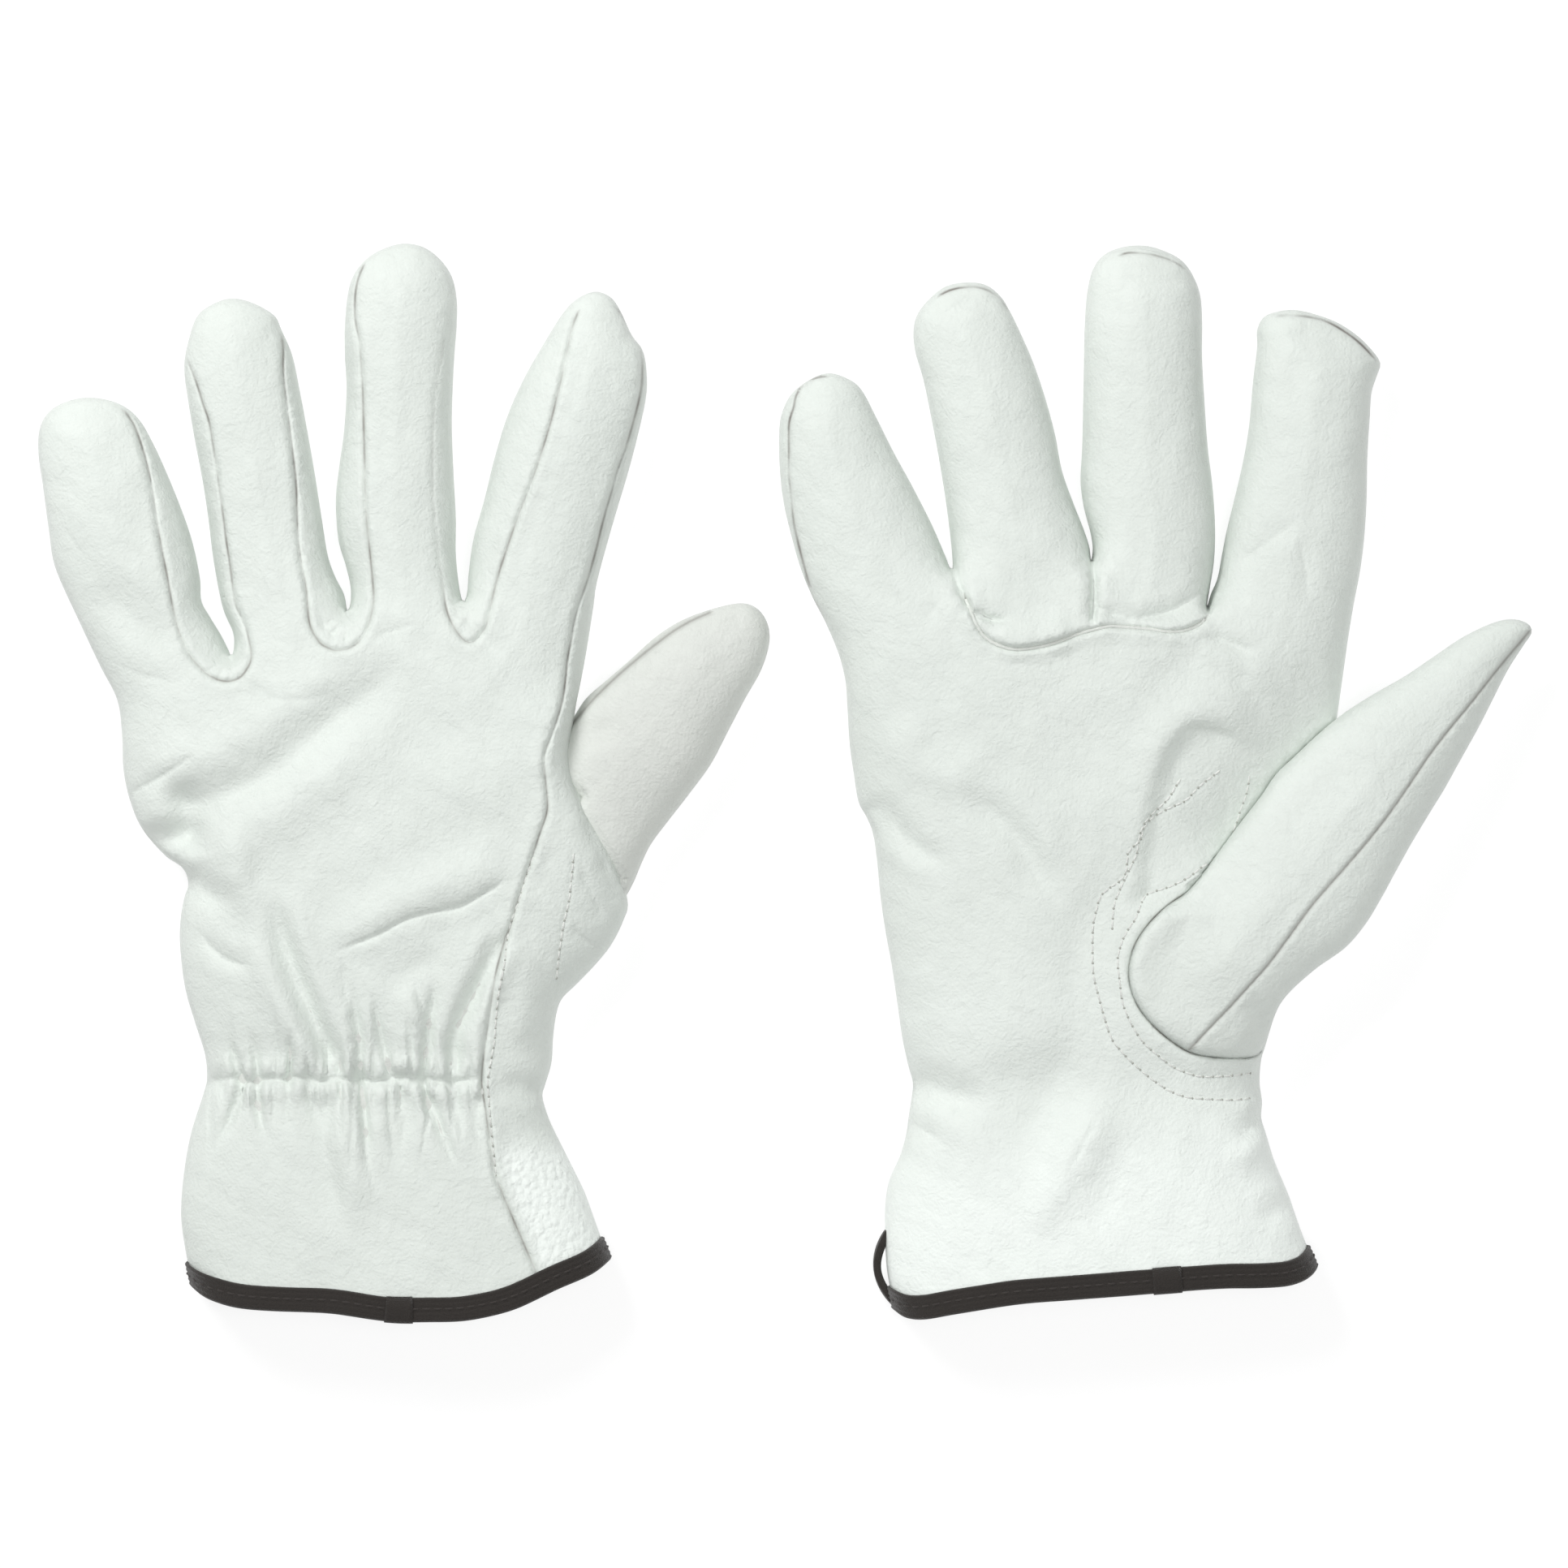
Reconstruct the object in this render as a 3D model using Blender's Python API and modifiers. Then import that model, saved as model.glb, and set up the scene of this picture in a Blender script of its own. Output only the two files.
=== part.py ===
"""A pair of leather work gloves for welding, lying flat side by side.

The left glove lies palm down and the right glove palm up, fingertips towards +Y, thumbs towards +X.
World frame in metres, +Z up. The origin is at the bottom centre of the pair, on the surface they lie on.
Each glove is a hollow hand of two leather panels, open at the cuff, and five hollow finger stalls of two
panels each. A stall folds about a hinge line at its base, on the palm's skin.
"""
import math

import bmesh
import bpy
from mathutils import Matrix, Vector

for old in list(bpy.data.objects):
    bpy.data.objects.remove(old)

MM = 0.001
# ---- driving dimensions, in millimetres ----------------------------------
LEATHER = 1.1          # thickness of the goatskin
GAP = 0.4              # clearance between neighbouring pieces
HINGE_GAP = 0.5        # clearance at the base of a stall
SECTION = 3.0          # exponent of the flattened section of a glove
FLAT = 1.08            # how much of the underside is pressed flat
BACK_SEAM = 52.0       # where the back's strip meets the side wall of a finger, degrees up the section
SIDE_SEAM = 54.0       # where the back panel meets the palm panel on the thumb's side
TAPE = 0.9             # thickness of the hem tape
TAPE_WIDTH = 8.0       # visible width of the hem tape
ELASTIC_WIDTH = 8.0
THREAD = 0.27          # radius of the sewing thread
WRIST = 4              # the row of a hand that the elastic gathers
CENTRE = Vector((-0.601, 1.411, 0.0))  # the middle of the pair, where the frame's origin stands

# Rows are (left edge x, y), (right edge x, y), lowest z, highest z.
LEFT_HAND = [
    ((-139.7, -113.5), (-39.7, -112.5), 3.4, 25.0),
    ((-140.6, -104.0), (-41.0, -102.5), 2.2, 25.5),
    ((-141.4, -92.0), (-46.4, -91.0), 0.0, 25.0),
    ((-138.9, -80.5), (-52.8, -80.0), 0.0, 22.5),
    ((-135.3, -70.0), (-55.1, -70.0), 0.0, 20.5),
    ((-138.3, -57.8), (-53.6, -57.8), 0.0, 23.0),
    ((-141.0, -49.5), (-52.4, -49.5), 0.0, 25.5),
    ((-141.6, -33.0), (-51.4, -33.0), 0.0, 28.0),
    ((-146.5, -16.0), (-50.3, -16.0), 0.0, 28.5),
    ((-154.1, -2.0), (-49.4, -1.0), 0.0, 28.0),
    ((-155.9, 10.0), (-48.4, 14.5), 0.0, 26.0),
    ((-160.0, 23.6), (-46.9, 40.8), 0.0, 21.5),
]
LEFT_HOLE = (6, 10)    # the thumb's opening runs between these rows
LEFT_FINGERS = {
    "little": [
        ((-159.8, 24.3), (-131.0, 28.7), 0.0, 20.5),
        ((-164.2, 34.4), (-133.2, 35.4), 0.0, 19.0),
        ((-168.6, 44.0), (-136.4, 44.0), 0.0, 18.5),
        ((-174.2, 67.0), (-143.0, 67.0), 0.0, 18.0),
        ((-174.8, 80.0), (-147.8, 80.0), 0.3, 17.0),
        ((-171.8, 87.2), (-153.0, 87.2), 1.2, 15.0),
        ((-167.0, 90.2), (-158.5, 90.2), 3.6, 11.5),
    ],
    "ring": [
        ((-129.7, 28.9), (-102.8, 33.0), 0.0, 21.0),
        ((-130.0, 38.0), (-103.4, 40.0), 0.0, 19.5),
        ((-134.7, 56.2), (-107.2, 56.2), 0.0, 18.5),
        ((-138.6, 82.0), (-111.4, 82.0), 0.0, 18.0),
        ((-141.0, 98.0), (-114.2, 98.0), 0.3, 17.0),
        ((-138.4, 108.2), (-118.2, 108.2), 1.0, 15.0),
        ((-133.2, 113.2), (-124.6, 113.2), 3.6, 11.5),
    ],
    "middle": [
        ((-101.5, 33.2), (-75.2, 37.2), 0.0, 21.5),
        ((-102.2, 43.0), (-75.9, 45.0), 0.0, 20.0),
        ((-104.6, 60.0), (-77.3, 60.0), 0.0, 19.0),
        ((-104.2, 85.0), (-77.5, 85.0), 0.0, 18.5),
        ((-102.5, 113.0), (-77.4, 113.0), 0.3, 17.0),
        ((-99.2, 122.6), (-80.2, 122.6), 1.0, 15.0),
        ((-94.2, 126.2), (-85.4, 126.2), 3.6, 11.5),
    ],
    "index": [
        ((-73.9, 37.4), (-47.0, 41.6), 0.0, 21.5),
        ((-73.8, 47.0), (-43.2, 49.0), 0.0, 20.0),
        ((-71.6, 62.0), (-39.2, 62.0), 0.0, 19.0),
        ((-64.6, 83.5), (-33.6, 83.5), 0.0, 18.5),
        ((-58.7, 98.0), (-32.4, 98.0), 0.3, 17.0),
        ((-52.0, 109.0), (-37.0, 109.0), 1.0, 15.0),
        ((-47.2, 114.4), (-40.6, 114.4), 3.6, 11.5),
    ],
    "thumb": [
        ((-47.6, 15.2), (-51.6, -50.4), 0.6, 19.5),
        ((-42.0, 23.6), (-41.0, -37.5), 0.0, 19.0),
        ((-34.6, 30.8), (-33.6, -22.0), 0.0, 18.0),
        ((-25.6, 37.6), (-21.0, -1.2), 0.0, 17.0),
        ((-16.8, 41.6), (-11.6, 13.6), 0.3, 16.0),
        ((-9.6, 42.8), (-7.2, 22.4), 1.2, 14.0),
        ((-5.4, 41.0), (-4.2, 29.6), 3.6, 11.0),
    ],
}
RIGHT_HAND = [
    ((24.5, -121.0), (125.8, -112.0), 3.4, 25.0),
    ((23.4, -110.5), (123.8, -102.0), 2.2, 25.5),
    ((24.1, -96.0), (118.4, -91.0), 0.0, 25.0),
    ((27.9, -83.0), (113.6, -81.0), 0.0, 22.5),
    ((29.8, -71.0), (112.3, -71.0), 0.0, 20.5),
    ((27.4, -62.8), (112.6, -63.5), 0.0, 23.0),
    ((24.3, -44.0), (115.8, -48.0), 0.0, 27.0),
    ((21.9, -24.0), (120.2, -24.0), 0.0, 28.5),
    ((17.9, -6.5), (124.4, -4.0), 0.0, 28.0),
    ((15.0, 11.0), (129.0, 15.2), 0.0, 27.0),
    ((13.9, 25.0), (131.3, 27.0), 0.0, 25.0),
    ((9.0, 38.9), (132.9, 44.2), 0.0, 21.5),
]
RIGHT_HOLE = (5, 9)
RIGHT_FINGERS = {
    "little": [
        ((9.2, 39.7), (41.8, 41.1), 0.0, 21.0),
        ((5.0, 48.0), (39.5, 49.5), 0.0, 19.5),
        ((1.0, 57.0), (36.6, 57.0), 0.0, 18.5),
        ((-1.0, 74.0), (28.6, 74.0), 0.0, 18.0),
        ((-0.6, 86.0), (22.0, 86.0), 0.3, 17.0),
        ((2.6, 92.8), (18.0, 92.8), 1.2, 15.0),
        ((6.8, 96.0), (14.4, 96.0), 3.6, 11.5),
    ],
    "ring": [
        ((43.6, 41.2), (71.3, 42.4), 0.0, 21.5),
        ((41.6, 50.0), (71.4, 50.6), 0.0, 20.0),
        ((38.6, 60.0), (70.4, 60.0), 0.0, 19.0),
        ((34.4, 82.0), (62.8, 82.0), 0.0, 18.5),
        ((31.0, 101.0), (57.6, 101.0), 0.3, 17.0),
        ((33.0, 112.4), (52.2, 112.4), 1.0, 15.0),
        ((38.6, 117.4), (47.2, 117.4), 3.6, 11.5),
    ],
    "middle": [
        ((72.7, 42.5), (99.1, 43.6), 0.0, 21.5),
        ((72.9, 50.6), (99.8, 51.2), 0.0, 20.0),
        ((71.6, 60.0), (101.0, 60.0), 0.0, 19.0),
        ((69.7, 84.0), (99.4, 84.0), 0.0, 18.5),
        ((70.5, 111.0), (98.0, 111.0), 0.3, 17.0),
        ((72.6, 121.4), (94.8, 121.4), 1.0, 15.0),
        ((78.4, 125.8), (88.4, 125.8), 3.6, 11.5),
    ],
    "index": [
        ((100.5, 43.7), (132.8, 45.1), 0.0, 21.5),
        ((100.9, 51.4), (134.8, 52.0), 0.0, 20.0),
        ((104.4, 60.0), (136.2, 60.0), 0.0, 19.0),
        ((108.6, 82.0), (137.2, 82.0), 0.0, 18.0),
        ((110.4, 97.0), (138.6, 97.0), 0.3, 16.5),
        ((111.8, 107.2), (131.6, 106.2), 1.0, 14.5),
        ((115.6, 110.6), (123.8, 110.2), 3.6, 11.0),
    ],
    "thumb": [
        ((130.0, 15.6), (112.9, -63.2), 4.5, 24.5),
        ((138.6, 21.0), (127.4, -42.6), 4.5, 24.5),
        ((147.8, 27.2), (140.0, -27.0), 5.0, 24.0),
        ((156.4, 32.6), (149.6, -10.0), 5.5, 23.0),
        ((164.4, 37.0), (158.0, 4.6), 6.0, 21.5),
        ((170.2, 38.8), (167.0, 19.6), 7.0, 19.5),
        ((173.2, 38.2), (173.6, 31.6), 9.0, 16.5),
    ],
}


def section_point(row, phi):
    """A point of a row's section, phi degrees round from its right edge over the top."""
    return place(row, section_2d(row, phi))


def section_2d(row, phi):
    """The same point in the section's own plane: the distance along the row from its middle, and the height."""
    (xl, yl), (xr, yr), low, high = row
    a = math.hypot(xr - xl, yr - yl) / 2
    c, s = math.cos(math.radians(phi)), math.sin(math.radians(phi))
    reach = math.copysign(abs(c) ** (2 / SECTION), c) * a
    mid, b = (low + high) / 2, (high - low) / 2
    lift = math.copysign(abs(s) ** (2 / SECTION), s) * b * FLAT
    return reach, max(low, min(high, mid + lift))


def place(row, point):
    (xl, yl), (xr, yr), low, high = row
    along = Vector((xr - xl, yr - yl, 0)).normalized()
    return Vector(((xl + xr) / 2, (yl + yr) / 2, 0)) + along * point[0] + Vector((0, 0, point[1]))


def inset_ring(row, angles, distance):
    """The closed polygon of a row's section through the given angles, moved inwards by a distance, corners mitred."""
    pts = [Vector(section_2d(row, p)) for p in angles]
    n = len(pts)
    turn = 1 if sum(pts[i].x * pts[(i + 1) % n].y - pts[(i + 1) % n].x * pts[i].y for i in range(n)) > 0 else -1
    moved = []
    for i in range(n):
        d0 = (pts[i] - pts[i - 1]).normalized()
        d1 = (pts[(i + 1) % n] - pts[i]).normalized()
        n0 = Vector((-d0.y, d0.x)) * turn
        n1 = Vector((-d1.y, d1.x)) * turn
        moved.append(pts[i] + (n0 + n1) * (distance / (1 + n0.dot(n1))))
    return moved


def spread(start, end, steps):
    return [start + (end - start) * i / steps for i in range(steps + 1)]


def between(row_a, row_b, t):
    """The row a share t of the way from one row to the next."""
    mix = lambda p, q: tuple(u + (v - u) * t for u, v in zip(p, q))
    return (mix(row_a[0], row_b[0]), mix(row_a[1], row_b[1]), row_a[2] + (row_b[2] - row_a[2]) * t, row_a[3] + (row_b[3] - row_a[3]) * t)


def material(name, colour, roughness):
    found = bpy.data.materials.get(name) or bpy.data.materials.new(name)
    found.use_nodes = True
    shader = found.node_tree.nodes["Principled BSDF"]
    shader.inputs["Base Color"].default_value = (*colour, 1)
    shader.inputs["Roughness"].default_value = roughness
    shader.inputs["Metallic"].default_value = 0.0
    return found


GOATSKIN = material("goatskin", (0.80, 0.83, 0.80), 0.55)
TAPE_BLACK = material("hem_tape", (0.045, 0.040, 0.038), 0.8)
WHITE_THREAD = material("white_thread", (0.78, 0.79, 0.76), 0.6)
BLACK_THREAD = material("black_thread", (0.06, 0.055, 0.05), 0.6)
ELASTIC = material("elastic", (0.82, 0.82, 0.78), 0.7)
gloves = bpy.data.collections.new("welding_gloves")
bpy.context.scene.collection.children.link(gloves)


def new_object(name, mesh, finish, origin=None):
    mesh.materials.append(finish)
    made = bpy.data.objects.new(name, mesh)
    gloves.objects.link(made)
    o = (Vector(origin) - CENTRE) * MM if origin else Vector()
    mesh.transform(Matrix.Translation(-o))
    made.location = o
    return made



def shell(name, grid, finish, thickness, origin=None, skip=(), cap_from=None, outwards=True):
    """An open surface through rows of points, given a thickness inwards with Solidify.

    skip holds (row, column) faces left open. cap_from closes the end with a flat tip."""
    bm = bmesh.new()
    rows = [[bm.verts.new((p - CENTRE) * MM) for p in row] for row in grid]
    for i in range(len(rows) - 1):
        for j in range(len(rows[i]) - 1):
            if (i, j) not in skip:
                bm.faces.new((rows[i][j], rows[i][j + 1], rows[i + 1][j + 1], rows[i + 1][j]))
    if cap_from:
        ring = [bm.verts.new((p - CENTRE) * MM) for p in cap_from[0]]
        tip = [bm.verts.new((p - CENTRE) * MM) for p in cap_from[1]]
        n, m = len(ring), len(rows[-1])
        # the full ring continues from the last open row, whose points are its first m
        for j in range(m):
            bm.verts.remove(ring[j])
            ring[j] = rows[-1][j]
        for j in range(n):
            k = (j + 1) % n
            bm.faces.new((ring[j], ring[k], tip[k], tip[j]))
        bm.faces.new(tip)
    bmesh.ops.delete(bm, geom=[v for v in bm.verts if not v.link_faces], context="VERTS")
    bmesh.ops.recalc_face_normals(bm, faces=bm.faces)
    mesh = bpy.data.meshes.new(name)
    # turn the faces so that they point away from the glove's inside
    inside = sum((v.co for v in bm.verts), Vector()) / len(bm.verts)
    score = sum(f.normal.dot(f.calc_center_median() - inside) * f.calc_area() for f in bm.faces)
    if (score < 0) == outwards:
        bmesh.ops.reverse_faces(bm, faces=bm.faces)
    bm.to_mesh(mesh)
    bm.free()
    made = new_object(name, mesh, finish, origin)
    solid = made.modifiers.new("leather", "SOLIDIFY")
    solid.thickness = thickness * MM
    solid.offset = -1
    solid.use_even_offset = True
    made.data.shade_smooth()
    made.data.set_sharp_from_angle(angle=math.radians(40))
    return made


def tube(name, points, radius, finish, cyclic=False, sides=0):
    curve = bpy.data.curves.new(name, "CURVE")
    curve.dimensions = "3D"
    curve.bevel_depth = radius * MM
    curve.bevel_resolution = sides
    curve.use_fill_caps = not cyclic
    spline = curve.splines.new("POLY")
    spline.points.add(len(points) - 1)
    for slot, p in zip(spline.points, points):
        slot.co = (*((p - CENTRE) * MM), 1)
    spline.use_cyclic_u = cyclic
    curve.materials.append(finish)
    made = bpy.data.objects.new(name, curve)
    gloves.objects.link(made)
    return made


def finger(side, name, rows, palm_up):
    """A hollow stall: the front is the palm side with both side walls and the tip, the back is the strip between its seams."""
    up = -1 if palm_up else 1
    if name == "thumb":
        # its two panels meet in seams along its length
        start, end = (78.0, -78.0) if palm_up else (152.0, -28.0)
        back_run = spread(start, end, 7)
        front_run = spread(end, start - 360, 7)
        if palm_up:
            back_run, front_run = back_run, front_run
        else:
            back_run, front_run = back_run, front_run
    else:
        back_run = spread(180 - BACK_SEAM, BACK_SEAM, 4)
        front_run = spread(BACK_SEAM, 180 - BACK_SEAM - 360, 11)
        if palm_up:
            back_run = [-p for p in back_run]
            front_run = [-p for p in front_run]
    trim = lambda run, d: [run[0] + math.copysign(d, run[1] - run[0])] + run[1:-1] + [run[-1] - math.copysign(d, run[-1] - run[-2])]
    last, tip = rows[-2], rows[-1]
    full = front_run + back_run[1:-1]
    grid = [[section_point(r, p) for p in trim(front_run, 1.6)] for r in rows[:-1]]
    # the last open row is full width, so that the tip's cap joins it without a step
    grid[-1] = [section_point(last, p) for p in front_run]
    cap = ([section_point(last, p) for p in full], [section_point(tip, p) for p in full])
    pivot = hinge_of(side, name)[0]
    front = shell(f"{side}_{name}_front", grid, GOATSKIN, LEATHER, pivot, cap_from=cap)
    short = between(rows[-3], last, 1 - 2.4 / max(1.0, abs(last[0][1] - rows[-3][0][1]) + abs(last[0][0] - rows[-3][0][0])))
    back_rows = rows[:-2] + [short]
    strip = [[section_point(r, p) for p in trim(back_run, 7.0)] for r in back_rows]
    back = shell(f"{side}_{name}_back", strip, GOATSKIN, LEATHER, pivot)
    return front, back


def hinge_of(side, name):
    """The middle of the hinge line and its direction: along the stall's base, on the upper skin, so the stall lifts and folds over."""
    rows = (LEFT_FINGERS if side == "left" else RIGHT_FINGERS)[name]
    (xl, yl), (xr, yr), low, high = rows[0]
    line = Vector((xr - xl, yr - yl, 0)).normalized()
    outward = Vector((-line.y, line.x, 0))
    return Vector(((xl + xr) / 2, (yl + yr) / 2, high)) - outward * HINGE_GAP / 2, line


def hand(side, rows, hole, palm_up):
    back_run = spread(180.0, SIDE_SEAM, 9)
    palm_run = spread(SIDE_SEAM, -180.0, 18)
    if palm_up:
        back_run = [-p for p in back_run]
        palm_run = [-p for p in palm_run]
    trim = lambda run, d: [run[0] + math.copysign(d, run[1] - run[0])] + run[1:-1] + [run[-1] - math.copysign(d, run[-1] - run[-2])]
    back = [[section_point(r, p) for p in trim(back_run, 0.9)] for r in rows]
    shell(f"{side}_back_panel", back, GOATSKIN, LEATHER)
    palm = [[section_point(r, p) for p in trim(palm_run, 0.9)] for r in rows]
    # the thumb's opening: the side wall's faces next to its base
    skip = {(i, j) for i in range(*hole) for j in range(len(palm_run) - 1)
            if (-62 if not palm_up else -10) < (palm_run[j] + palm_run[j + 1]) / 2 < (10 if not palm_up else 62)}
    shell(f"{side}_palm_panel", palm, GOATSKIN, LEATHER, skip=skip)

    ring = back_run + palm_run[1:-1]

    # hem tape: folded over the edge of the cuff, outside and inside
    first, second = rows[0], rows[1]
    depth = abs(first[0][1] - second[0][1])
    up_row = between(first, second, (TAPE_WIDTH - 1.0) / depth)
    mid_row = between(first, second, 0.40)
    down = Vector((0, -1.0 - GAP, 0))
    lane = lambda row, distance: [place(row, p) for p in inset_ring(row, ring, distance)]
    inn = LEATHER + GAP
    loops = [lane(up_row, -GAP), lane(mid_row, -GAP), [p + down for p in lane(first, -GAP)], [p + down for p in lane(first, inn)], lane(up_row, inn)]
    ring_shell(f"{side}_hem_binding", list(zip(*loops)), TAPE_BLACK, TAPE)
    # its running stitch, a thread along the middle of the tape
    tube(f"{side}_hem_thread", lane(mid_row, -(GAP + TAPE + 0.3 + THREAD)), THREAD, BLACK_THREAD, cyclic=True)

    # elastic inside the back at the wrist, and the thread that gathers the leather onto it
    def wrist(offset):
        other = rows[WRIST - 1] if offset < 0 else rows[WRIST + 1]
        return between(rows[WRIST], other, abs(offset) / abs(rows[WRIST][0][1] - other[0][1]))
    band = LEATHER + 0.5
    first_in, last_in = 2, 8
    strip = [[place(wrist(o), p) for p in inset_ring(wrist(o), ring, band)[first_in:last_in]] for o in (-ELASTIC_WIDTH / 2, 0.0, ELASTIC_WIDTH / 2)]
    shell(f"{side}_wrist_elastic", strip, ELASTIC, 0.8)
    zig = []
    for k in range(2 * (last_in - first_in - 1) * 2 + 1):
        row = wrist(2.0 if k % 2 else -2.0)
        pts = inset_ring(row, ring, band + 0.8 + 0.9 + THREAD)[first_in:last_in]
        t = k / 4
        i = min(int(t), len(pts) - 2)
        zig.append(place(row, pts[i].lerp(pts[i + 1], t - i)))
    tube(f"{side}_elastic_thread", zig, THREAD, WHITE_THREAD)
    return ring


def ring_shell(name, profile, finish, thickness):
    """A closed ring of an open profile: an open surface with Solidify on its outer side."""
    bm = bmesh.new()
    rows = [[bm.verts.new((p - CENTRE) * MM) for p in row] for row in profile]
    n = len(rows)
    for i in range(n):
        k = (i + 1) % n
        for j in range(len(rows[i]) - 1):
            bm.faces.new((rows[i][j], rows[k][j], rows[k][j + 1], rows[i][j + 1]))
    bmesh.ops.recalc_face_normals(bm, faces=bm.faces)
    # outer wall faces point away from the cuff's middle
    centre = sum((v.co for v in bm.verts), Vector()) / len(bm.verts)
    outer = [f for f in bm.faces if any(v in rows[0] or True for v in f.verts)]
    f0 = rows[0][0].link_faces[0]
    if f0.normal.dot(f0.calc_center_median() - centre) < 0:
        bmesh.ops.reverse_faces(bm, faces=bm.faces)
    mesh = bpy.data.meshes.new(name)
    bm.to_mesh(mesh)
    bm.free()
    made = new_object(name, mesh, finish)
    solid = made.modifiers.new("tape", "SOLIDIFY")
    solid.thickness = thickness * MM
    solid.offset = 1
    solid.use_even_offset = True
    made.data.shade_smooth()
    made.data.set_sharp_from_angle(angle=math.radians(50))
    return made


def palm_point(rows, ring, x, y, palm_up, inset):
    """The point of the palm's faceted surface above or below (x, y), moved inwards by inset."""
    for a, b in zip(rows, rows[1:]):
        ya = a[0][1] + (a[1][1] - a[0][1]) * (x - a[0][0]) / (a[1][0] - a[0][0])
        yb = b[0][1] + (b[1][1] - b[0][1]) * (x - b[0][0]) / (b[1][0] - b[0][0])
        if ya <= y <= yb:
            row = between(a, b, (y - ya) / (yb - ya))
            break
    (xl, yl), (xr, yr), low, high = row
    u = (x - (xl + xr) / 2) * math.hypot(xr - xl, yr - yl) / (xr - xl)
    pts = inset_ring(row, ring, inset)
    best = None
    for p, q in zip(pts, pts[1:] + pts[:1]):
        if min(p.x, q.x) <= u <= max(p.x, q.x) and abs(q.x - p.x) > 1e-6:
            z = p.y + (q.y - p.y) * (u - p.x) / (q.x - p.x)
            if best is None or (z > best) == palm_up:
                best = z
    return Vector((x, y, best))


def gusset(side, rows, ring, outer, inner, palm_up):
    """The keystone gusset, a crescent sewn to the palm round the thumb's base, and the thread that holds it."""
    layer = LEATHER + 0.7
    grid = []
    for (xo, yo), (xi, yi) in zip(outer, inner):
        grid.append([palm_point(rows, ring, xo + (xi - xo) * t, yo + (yi - yo) * t, palm_up, layer) for t in (0, 1 / 3, 2 / 3, 1)])
    patch = shell(f"{side}_thumb_gusset", grid, GOATSKIN, 0.9)
    centre_normal = sum((p.normal * p.area for p in patch.data.polygons), Vector())
    if (centre_normal.z > 0) != palm_up:
        patch.data.flip_normals()
    inside = layer + 0.9 + 0.6 + THREAD
    lane = lambda t: [palm_point(rows, ring, xo + (xi - xo) * t, yo + (yi - yo) * t, palm_up, inside) for (xo, yo), (xi, yi) in zip(outer, inner)]
    dense = lambda pts: [a.lerp(b, k / 3) for a, b in zip(pts, pts[1:]) for k in range(3)] + [pts[-1]]
    tube(f"{side}_gusset_thread", dense(lane(0.16)) + dense(lane(0.84))[::-1], THREAD, WHITE_THREAD)


def welt(side, rows, ring, x0, x1, palm_up):
    """The rolled strip sewn into the seam under the middle and ring fingers."""
    last, before = rows[-1], rows[-2]
    pts = []
    for x in spread(x0, x1, 16):
        y = last[0][1] + (last[1][1] - last[0][1]) * (x - last[0][0]) / (last[1][0] - last[0][0])
        pts.append(palm_point(rows, ring, x, y - 2.2, palm_up, LEATHER + 0.5 + 0.7))
    tube(f"{side}_finger_welt", pts, 0.7, GOATSKIN, sides=1)


# crescent edges of the gussets: outer row and inner row of stitching, from the web of the thumb to the side of the wrist
RIGHT_OUTER = [(94.0, 2.5), (88.5, -4.0), (84.0, -12.0), (80.4, -21.0), (77.0, -31.0), (74.0, -42.0), (73.6, -50.0), (76.0, -58.0), (82.0, -66.5), (90.0, -71.5), (98.5, -73.4), (106.0, -73.8)]
RIGHT_INNER = [(103.0, 0.5), (103.5, -5.5), (101.0, -13.5), (95.0, -21.5), (87.0, -29.0), (80.6, -36.5), (79.2, -44.0), (81.0, -51.5), (86.5, -60.0), (93.0, -65.0), (100.0, -67.0), (106.0, -67.6)]
SHIFT_LEFT = -166.5  # the left palm carries the same crescent
LEFT_OUTER = [(x + SHIFT_LEFT + 1.0, y + 6.0) for x, y in RIGHT_OUTER]
LEFT_INNER = [(x + SHIFT_LEFT + 1.0, y + 6.0) for x, y in RIGHT_INNER]

for side, rows, hole, fingers, outer, inner, palm_up, weltspan in (
    ("left", LEFT_HAND, LEFT_HOLE, LEFT_FINGERS, LEFT_OUTER, LEFT_INNER, False, (-128.0, -76.0)),
    ("right", RIGHT_HAND, RIGHT_HOLE, RIGHT_FINGERS, RIGHT_OUTER, RIGHT_INNER, True, (45.0, 98.0)),
):
    ring = hand(side, rows, hole, palm_up)
    for name, stall in fingers.items():
        finger(side, name, stall, palm_up)
    gusset(side, rows, ring, outer, inner, palm_up)
    welt(side, rows, ring, *weltspan, palm_up)
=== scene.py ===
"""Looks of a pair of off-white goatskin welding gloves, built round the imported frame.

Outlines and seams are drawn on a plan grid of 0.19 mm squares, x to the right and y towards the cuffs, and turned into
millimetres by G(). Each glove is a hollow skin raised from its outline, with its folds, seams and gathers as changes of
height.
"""
import math

import bmesh
import bpy
import numpy as np
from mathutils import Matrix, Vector
from mathutils.geometry import delaunay_2d_cdt


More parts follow.
